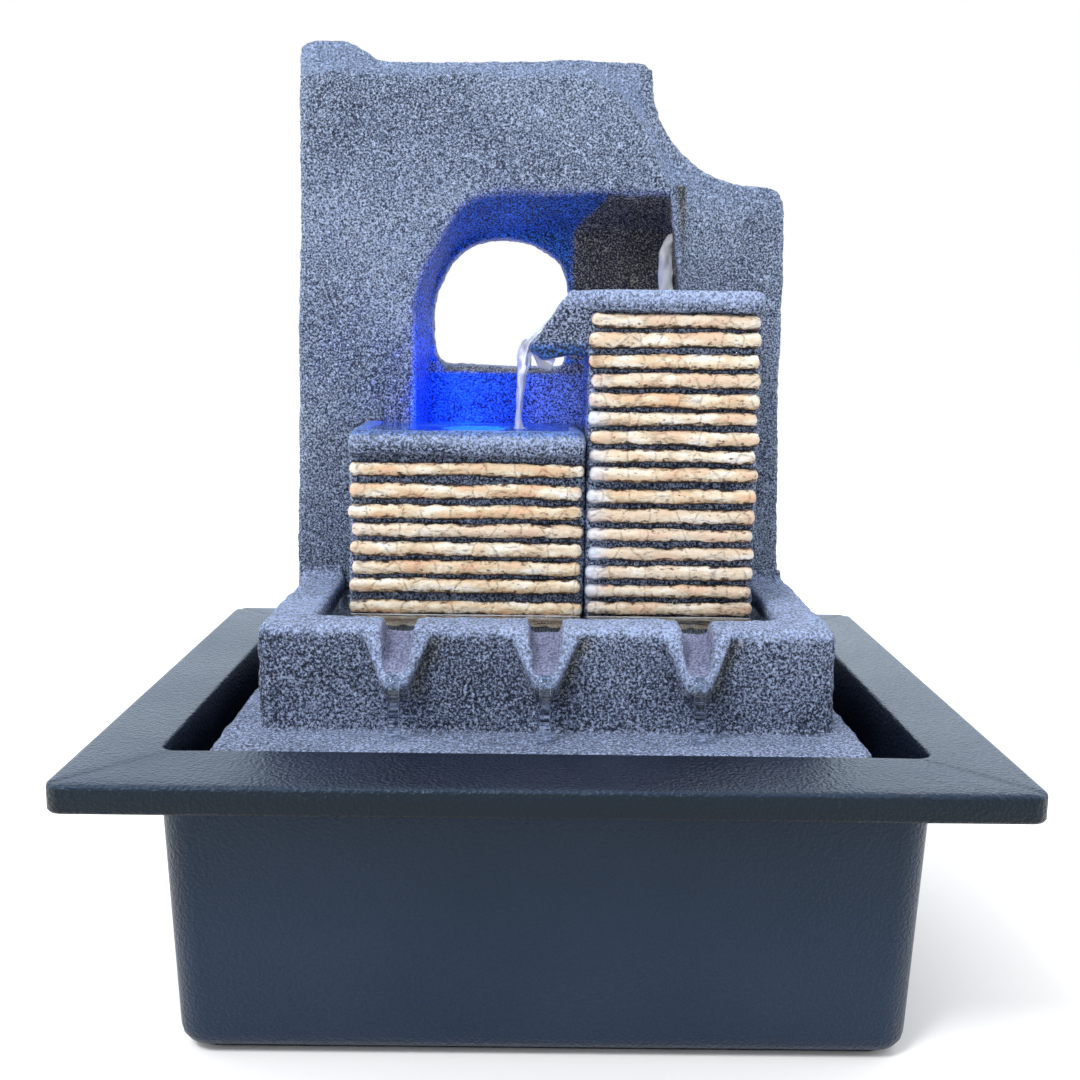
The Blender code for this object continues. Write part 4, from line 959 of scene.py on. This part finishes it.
def make_pool(name, body, low, high, level, centres, spacing=0.8, material=WATER):
    """A pool of water with a rippled top, from its floor to its level."""
    across, deep = max(2, int((high[0] - low[0]) / spacing)), max(2, int((high[1] - low[1]) / spacing))
    shape = bmesh.new()
    bmesh.ops.create_grid(shape, x_segments=across, y_segments=deep, size=0.5)
    for vert in shape.verts:
        x = low[0] + (vert.co.x + 0.5) * (high[0] - low[0])
        y = low[1] + (vert.co.y + 0.5) * (high[1] - low[1])
        vert.co = Vector((x, y, level + ripple_height(x, y, centres))) * MM
    walls = bmesh.ops.extrude_face_region(shape, geom=list(shape.faces))["geom"]
    for vert in (v for v in walls if isinstance(v, bmesh.types.BMVert)):
        vert.co.z = low[2] * MM
    # Extruding leaves a different order in each run
    shape.verts.sort(key=lambda vert: rank(vert.co))
    shape.faces.sort(key=lambda face: rank(face.calc_center_median()))
    return dress(from_bmesh(name, shape), body, material)


def make_stream(name, path, waves, seed=1.0, side=Vector((0, 1, 0)), material=FALLING_WATER):
    """A falling stream along a path of (point, half thickness, half width along its side), in millimetres."""
    around, steps = 20, 10
    shape = bmesh.new()
    rings = []
    for (start, rx0, ry0), (end, rx1, ry1) in zip(path, path[1:]):
        for number in range(steps):
            t = number / steps
            rings.append((Vector(start).lerp(Vector(end), t), rx0 + (rx1 - rx0) * t, ry0 + (ry1 - ry0) * t))
    rings.append((Vector(path[-1][0]), path[-1][1], path[-1][2]))
    made = []
    for index, (centre, rx, ry) in enumerate(rings):
        ahead = rings[min(index + 1, len(rings) - 1)][0] - rings[max(index - 1, 0)][0]
        out = ahead.cross(side).normalized()
        ring = []
        for turn in range(around):
            angle = math.tau * turn / around
            swell = 1 + waves * noise.noise(centre / 4 + Vector((math.cos(angle), math.sin(angle), seed)))
            ring.append(shape.verts.new((centre + out * rx * swell * math.cos(angle)
                                         + side * ry * swell * math.sin(angle)) * MM))
        made.append(ring)
    for ring, after in zip(made, made[1:]):
        for i in range(around):
            j = (i + 1) % around
            shape.faces.new((ring[i], ring[j], after[j], after[i]))
    shape.faces.new(made[0])
    shape.faces.new(made[-1])
    return dress(from_bmesh(name, shape), SCULPTURE, material)


def make_water():
    """The two lit and filled basins, the trough, the tub's filling, the streams and the films on the lips."""
    make_pool("low_pool_water", SCULPTURE, (-46.9, -12.1, 134.2), (5.5, 21.6, 0), 143.1, [(-7.5, 0.5, 0.3)],
              material=LAMP_BLUE_WATER)
    make_pool("tall_basin_water", SCULPTURE, (13.9, -12.1, 174.2), (49.8, 21.6, 0), 178.4,
              [(34.0, 18.0, 0.25)])
    make_pool("trough_water", SCULPTURE, (-58.2, -29.2, 86.2), (58.2, 21.3, 0), 95.5,
              [(x, -27.0, 0.12) for x in LIP_PLACES], spacing=1.0)
    make_pool("tub_water", TUB, (-83.0, -61.0, 8.0), (83.0, 61.0, 0), 47.0, [], spacing=4.0)
    make_stream("chute_stream", [
        ((14, 0.5, 178.2), 0.8, 8.0), ((5.2, 0.5, 176.8), 1.0, 7.6), ((2.2, 0.5, 174.0), 1.0, 7.2),
        ((-2.8, 0.5, 168.0), 1.2, 6.6), ((-5.6, 0.5, 165.4), 1.7, 5.6), ((-6.6, 0.5, 162.0), 1.9, 4.6),
        ((-7.2, 0.5, 158.0), 1.4, 3.6), ((-7.7, 0.5, 152), 0.9, 2.6), ((-7.9, 0.5, 146), 0.8, 2.2),
        ((-7.9, 0.5, 142.6), 1.3, 3.0)], 0.45)
    make_stream("chute_drip", [
        ((-4.2, -10.0, 163.4), 0.8, 2.0), ((-1.6, -10.0, 161.2), 1.8, 1.6),
        ((0.8, -10.0, 160.2), 1.5, 1.2)], 0.4, 3.0)
    make_stream("outlet_stream", [
        ((37.4, 31, 195.4), 1.2, 2.4), ((34.6, 30.2, 195.0), 1.6, 2.6), ((32.6, 29, 191), 1.5, 2.2),
        ((33.0, 28.5, 185), 1.9, 2.0), ((33.6, 28, 178.0), 2.4, 2.4)], 0.6, 6.0)
    for number, x in enumerate(LIP_PLACES, 1):
        make_stream(f"lip_film_{number}", [
            ((x, -46.6, 87.9), 0.2, 1.5), ((x, -48.4, 87.0), 0.4, 1.5), ((x, -49.2, 84.5), 0.3, 1.3),
            ((x, -49.4, 78), 0.2, 1.4), ((x, -49.4, 71.9), 0.3, 1.8)],
            0.1, number, Vector((1, 0, 0)), WATER)
    for name, left, right in (("low_waterline", -50.8, 8.6), ("tall_waterline", 10.4, 52.8)):
        make_stream(name, [((left, -15.7, 95.6), 0.14, 0.4), ((right, -15.7, 95.6), 0.14, 0.4)], 0.9, 4.0)


def make_droplets(name, low, high, count, seed):
    """Small beads of water on a pillar's strips."""
    rng = random.Random(seed)
    shape = bmesh.new()
    for _ in range(count):
        radius = rng.choice((0.3, 0.35, 0.45, 0.6)) * MM
        place = Vector((rng.uniform(low.x + 2, high.x - 2), low.y + 1.3 + rng.uniform(0.0, 1.2),
                        rng.uniform(low.z + 8, high.z - 9))) * MM
        bead = bmesh.ops.create_icosphere(shape, subdivisions=2, radius=radius)["verts"]
        bmesh.ops.scale(shape, vec=(1.0, 0.7, 1.15), verts=bead)
        bmesh.ops.translate(shape, vec=place, verts=bead)
    return dress(from_bmesh(name, shape), SCULPTURE, WATER)


# ------------ carried-over CAD nodes

CAD_LOOKS = (
    (RUBBER, ("foot_pad", "cord_grommet", "cable_gland", "suction_cup", "volute_seal", "shaft_bush",
              "led_gasket")),
    (PUMP_PLASTIC, ("pump_housing", "volute_cover", "strainer_cover", "flow_dial", "impeller",
                    "led_socket", "led_plug", "led_housing", "outlet_elbow")),
    (COVER_PLASTIC, ("rear_cover",)), (EPOXY, ("potting_cap",)), (LAMINATIONS, ("stator_core",)),
    (COPPER, ("stator_coil",)), (CERAMIC, ("rotor_shaft",)), (FERRITE, ("rotor_magnet",)),
    (SCREW_STEEL, ("cover_screw",)), (HOSE_PVC, ("delivery_hose",)), (BOARD, ("led_board",)),
    (LENS_GLOW, ("led_lens",)), (LEAD_PVC, ("led_lead",)),
)


def dress_cad_nodes():
    """Give the CAD nodes that no piece stands for their materials, by how their names start."""
    for name, node in frame["nodes"].items():
        for material, starts in CAD_LOOKS:
            if name.startswith(starts):
                node.data.materials.clear()
                node.data.materials.append(material)


# ------------ stage

def make_lamp_glow():
    """The blue light that the underwater lamp throws on the pool and the niche."""
    light = bpy.data.lights.new("lamp_glow", "POINT")
    light.energy = 0.095
    light.color = (0.0, 0.08, 1.0)
    light.shadow_soft_size = 3.0 * MM
    lamp = add_object("lamp_glow", light)
    lamp.location = Vector((LENS_PLACE - 3, 21.2, 146.6)) * MM
    lamp.visible_camera = False
    lamp.visible_glossy = False
    lamp.parent = frame["bodies"][SCULPTURE]


def area_light(name, place, target, size, power, colour=(1, 1, 1)):
    """A round soft light at a place in metres, facing a target."""
    light = bpy.data.lights.new(name, "AREA")
    light.shape = "DISK"
    light.size = size
    light.energy = power
    light.color = colour
    lamp = add_object(name, light)
    lamp.location = place
    lamp.rotation_euler = (Vector(target) - Vector(place)).to_track_quat("-Z", "Y").to_euler()


def make_stage():
    """A pale floor, soft studio light and a white surround."""
    look = Look("floor_paint")
    tone = look.noise(3.0, 2.0)
    paint = look.finish(look.mix(tone, (0.9, 0.9, 0.9), (0.92, 0.92, 0.92)), 0.7)
    shape = bmesh.new()
    bmesh.ops.create_grid(shape, x_segments=1, y_segments=1, size=6.0)
    floor = from_bmesh("floor", shape)
    floor.data.materials.append(paint)
    area_light("key_light", (-0.6, -0.8, 1.3), (0, 0, 0.12), 0.4, 16.0)
    area_light("fill_light", (0.9, -0.8, 0.6), (0, 0, 0.12), 1.0, 0.7, (0.95, 0.97, 1.0))
    area_light("rear_light", (0.1, 1.1, 0.9), (0, 0, 0.12), 1.0, 5.0)
    world = bpy.data.worlds.new("surround")
    world.use_nodes = True
    light_overhead(world.node_tree)
    bpy.context.scene.world = world
    bpy.context.scene.view_settings.view_transform = "Standard"


def light_overhead(tree):
    """A white surround that lights from overhead and both sides, and looks bright and cool in reflections."""
    nodes = Nodes(tree)
    ray = nodes.node("ShaderNodeLightPath").outputs
    split = nodes.node("ShaderNodeSeparateXYZ")
    nodes.wire(nodes.node("ShaderNodeTexCoord").outputs["Generated"], split.inputs[0])
    overhead = nodes.span(split.outputs["Z"], 0.0, 1.0, 0.15, 1.05)
    light = nodes.math("ADD", overhead, nodes.math("ABSOLUTE", split.outputs["X"]))
    light = nodes.math("ADD", light, nodes.math("MULTIPLY", ray["Is Glossy Ray"], 1.15))
    strength = nodes.node("ShaderNodeMix")
    seen = nodes.math("MAXIMUM", ray["Is Camera Ray"], ray["Is Transmission Ray"])
    nodes.wire(seen, strength.inputs["Factor"])
    nodes.wire(light, strength.inputs["A"])
    strength.inputs["B"].default_value = 1.0
    surround = tree.nodes["Background"].inputs
    nodes.wire(nodes.mix(ray["Is Glossy Ray"], (1.0, 1.0, 1.0), (0.8, 0.94, 1.1)), surround["Color"])
    nodes.wire(strength.outputs["Result"], surround["Strength"])


def make_camera():
    """A phone's view from the front, tipped down a little and rolled by under a degree."""
    data = bpy.data.cameras.new("camera")
    data.sensor_width = 36.0
    data.lens = 42.1
    data.clip_start = 0.01
    camera = add_object("camera", data)
    right = Vector((0.99991, -0.00393, 0.01275))
    ahead = Vector((0.0059, 0.98744, -0.1579)).normalized()
    up = right.cross(ahead).normalized()
    turn = Matrix((right, up, -ahead)).transposed().to_4x4()
    camera.matrix_world = Matrix.Translation((-3.9 * MM, -337.0 * MM, 167.0 * MM)) @ turn
    bpy.context.scene.camera = camera


make_camera()
make_stage()
make_basin()
make_base_casting()
make_wall_casting()
make_low_pillar()
make_tall_pillar()
low_pillar = (LOW_LOW / MM, LOW_HIGH / MM)
tall_pillar = (Vector((TALL_LEFT, TALL_LOW.y / MM, TALL_LOW.z / MM)), TALL_HIGH / MM)
make_strips("low_pillar_strips", *low_pillar, LOW_STRIPS, 0.15, 3)
make_strips("tall_pillar_strips", *tall_pillar, TALL_STRIPS, 0.9, 5)
make_water()
make_droplets("low_pillar_droplets", *low_pillar, 26, 8)
make_droplets("tall_pillar_droplets", *tall_pillar, 36, 9)
dress_cad_nodes()
make_lamp_glow()
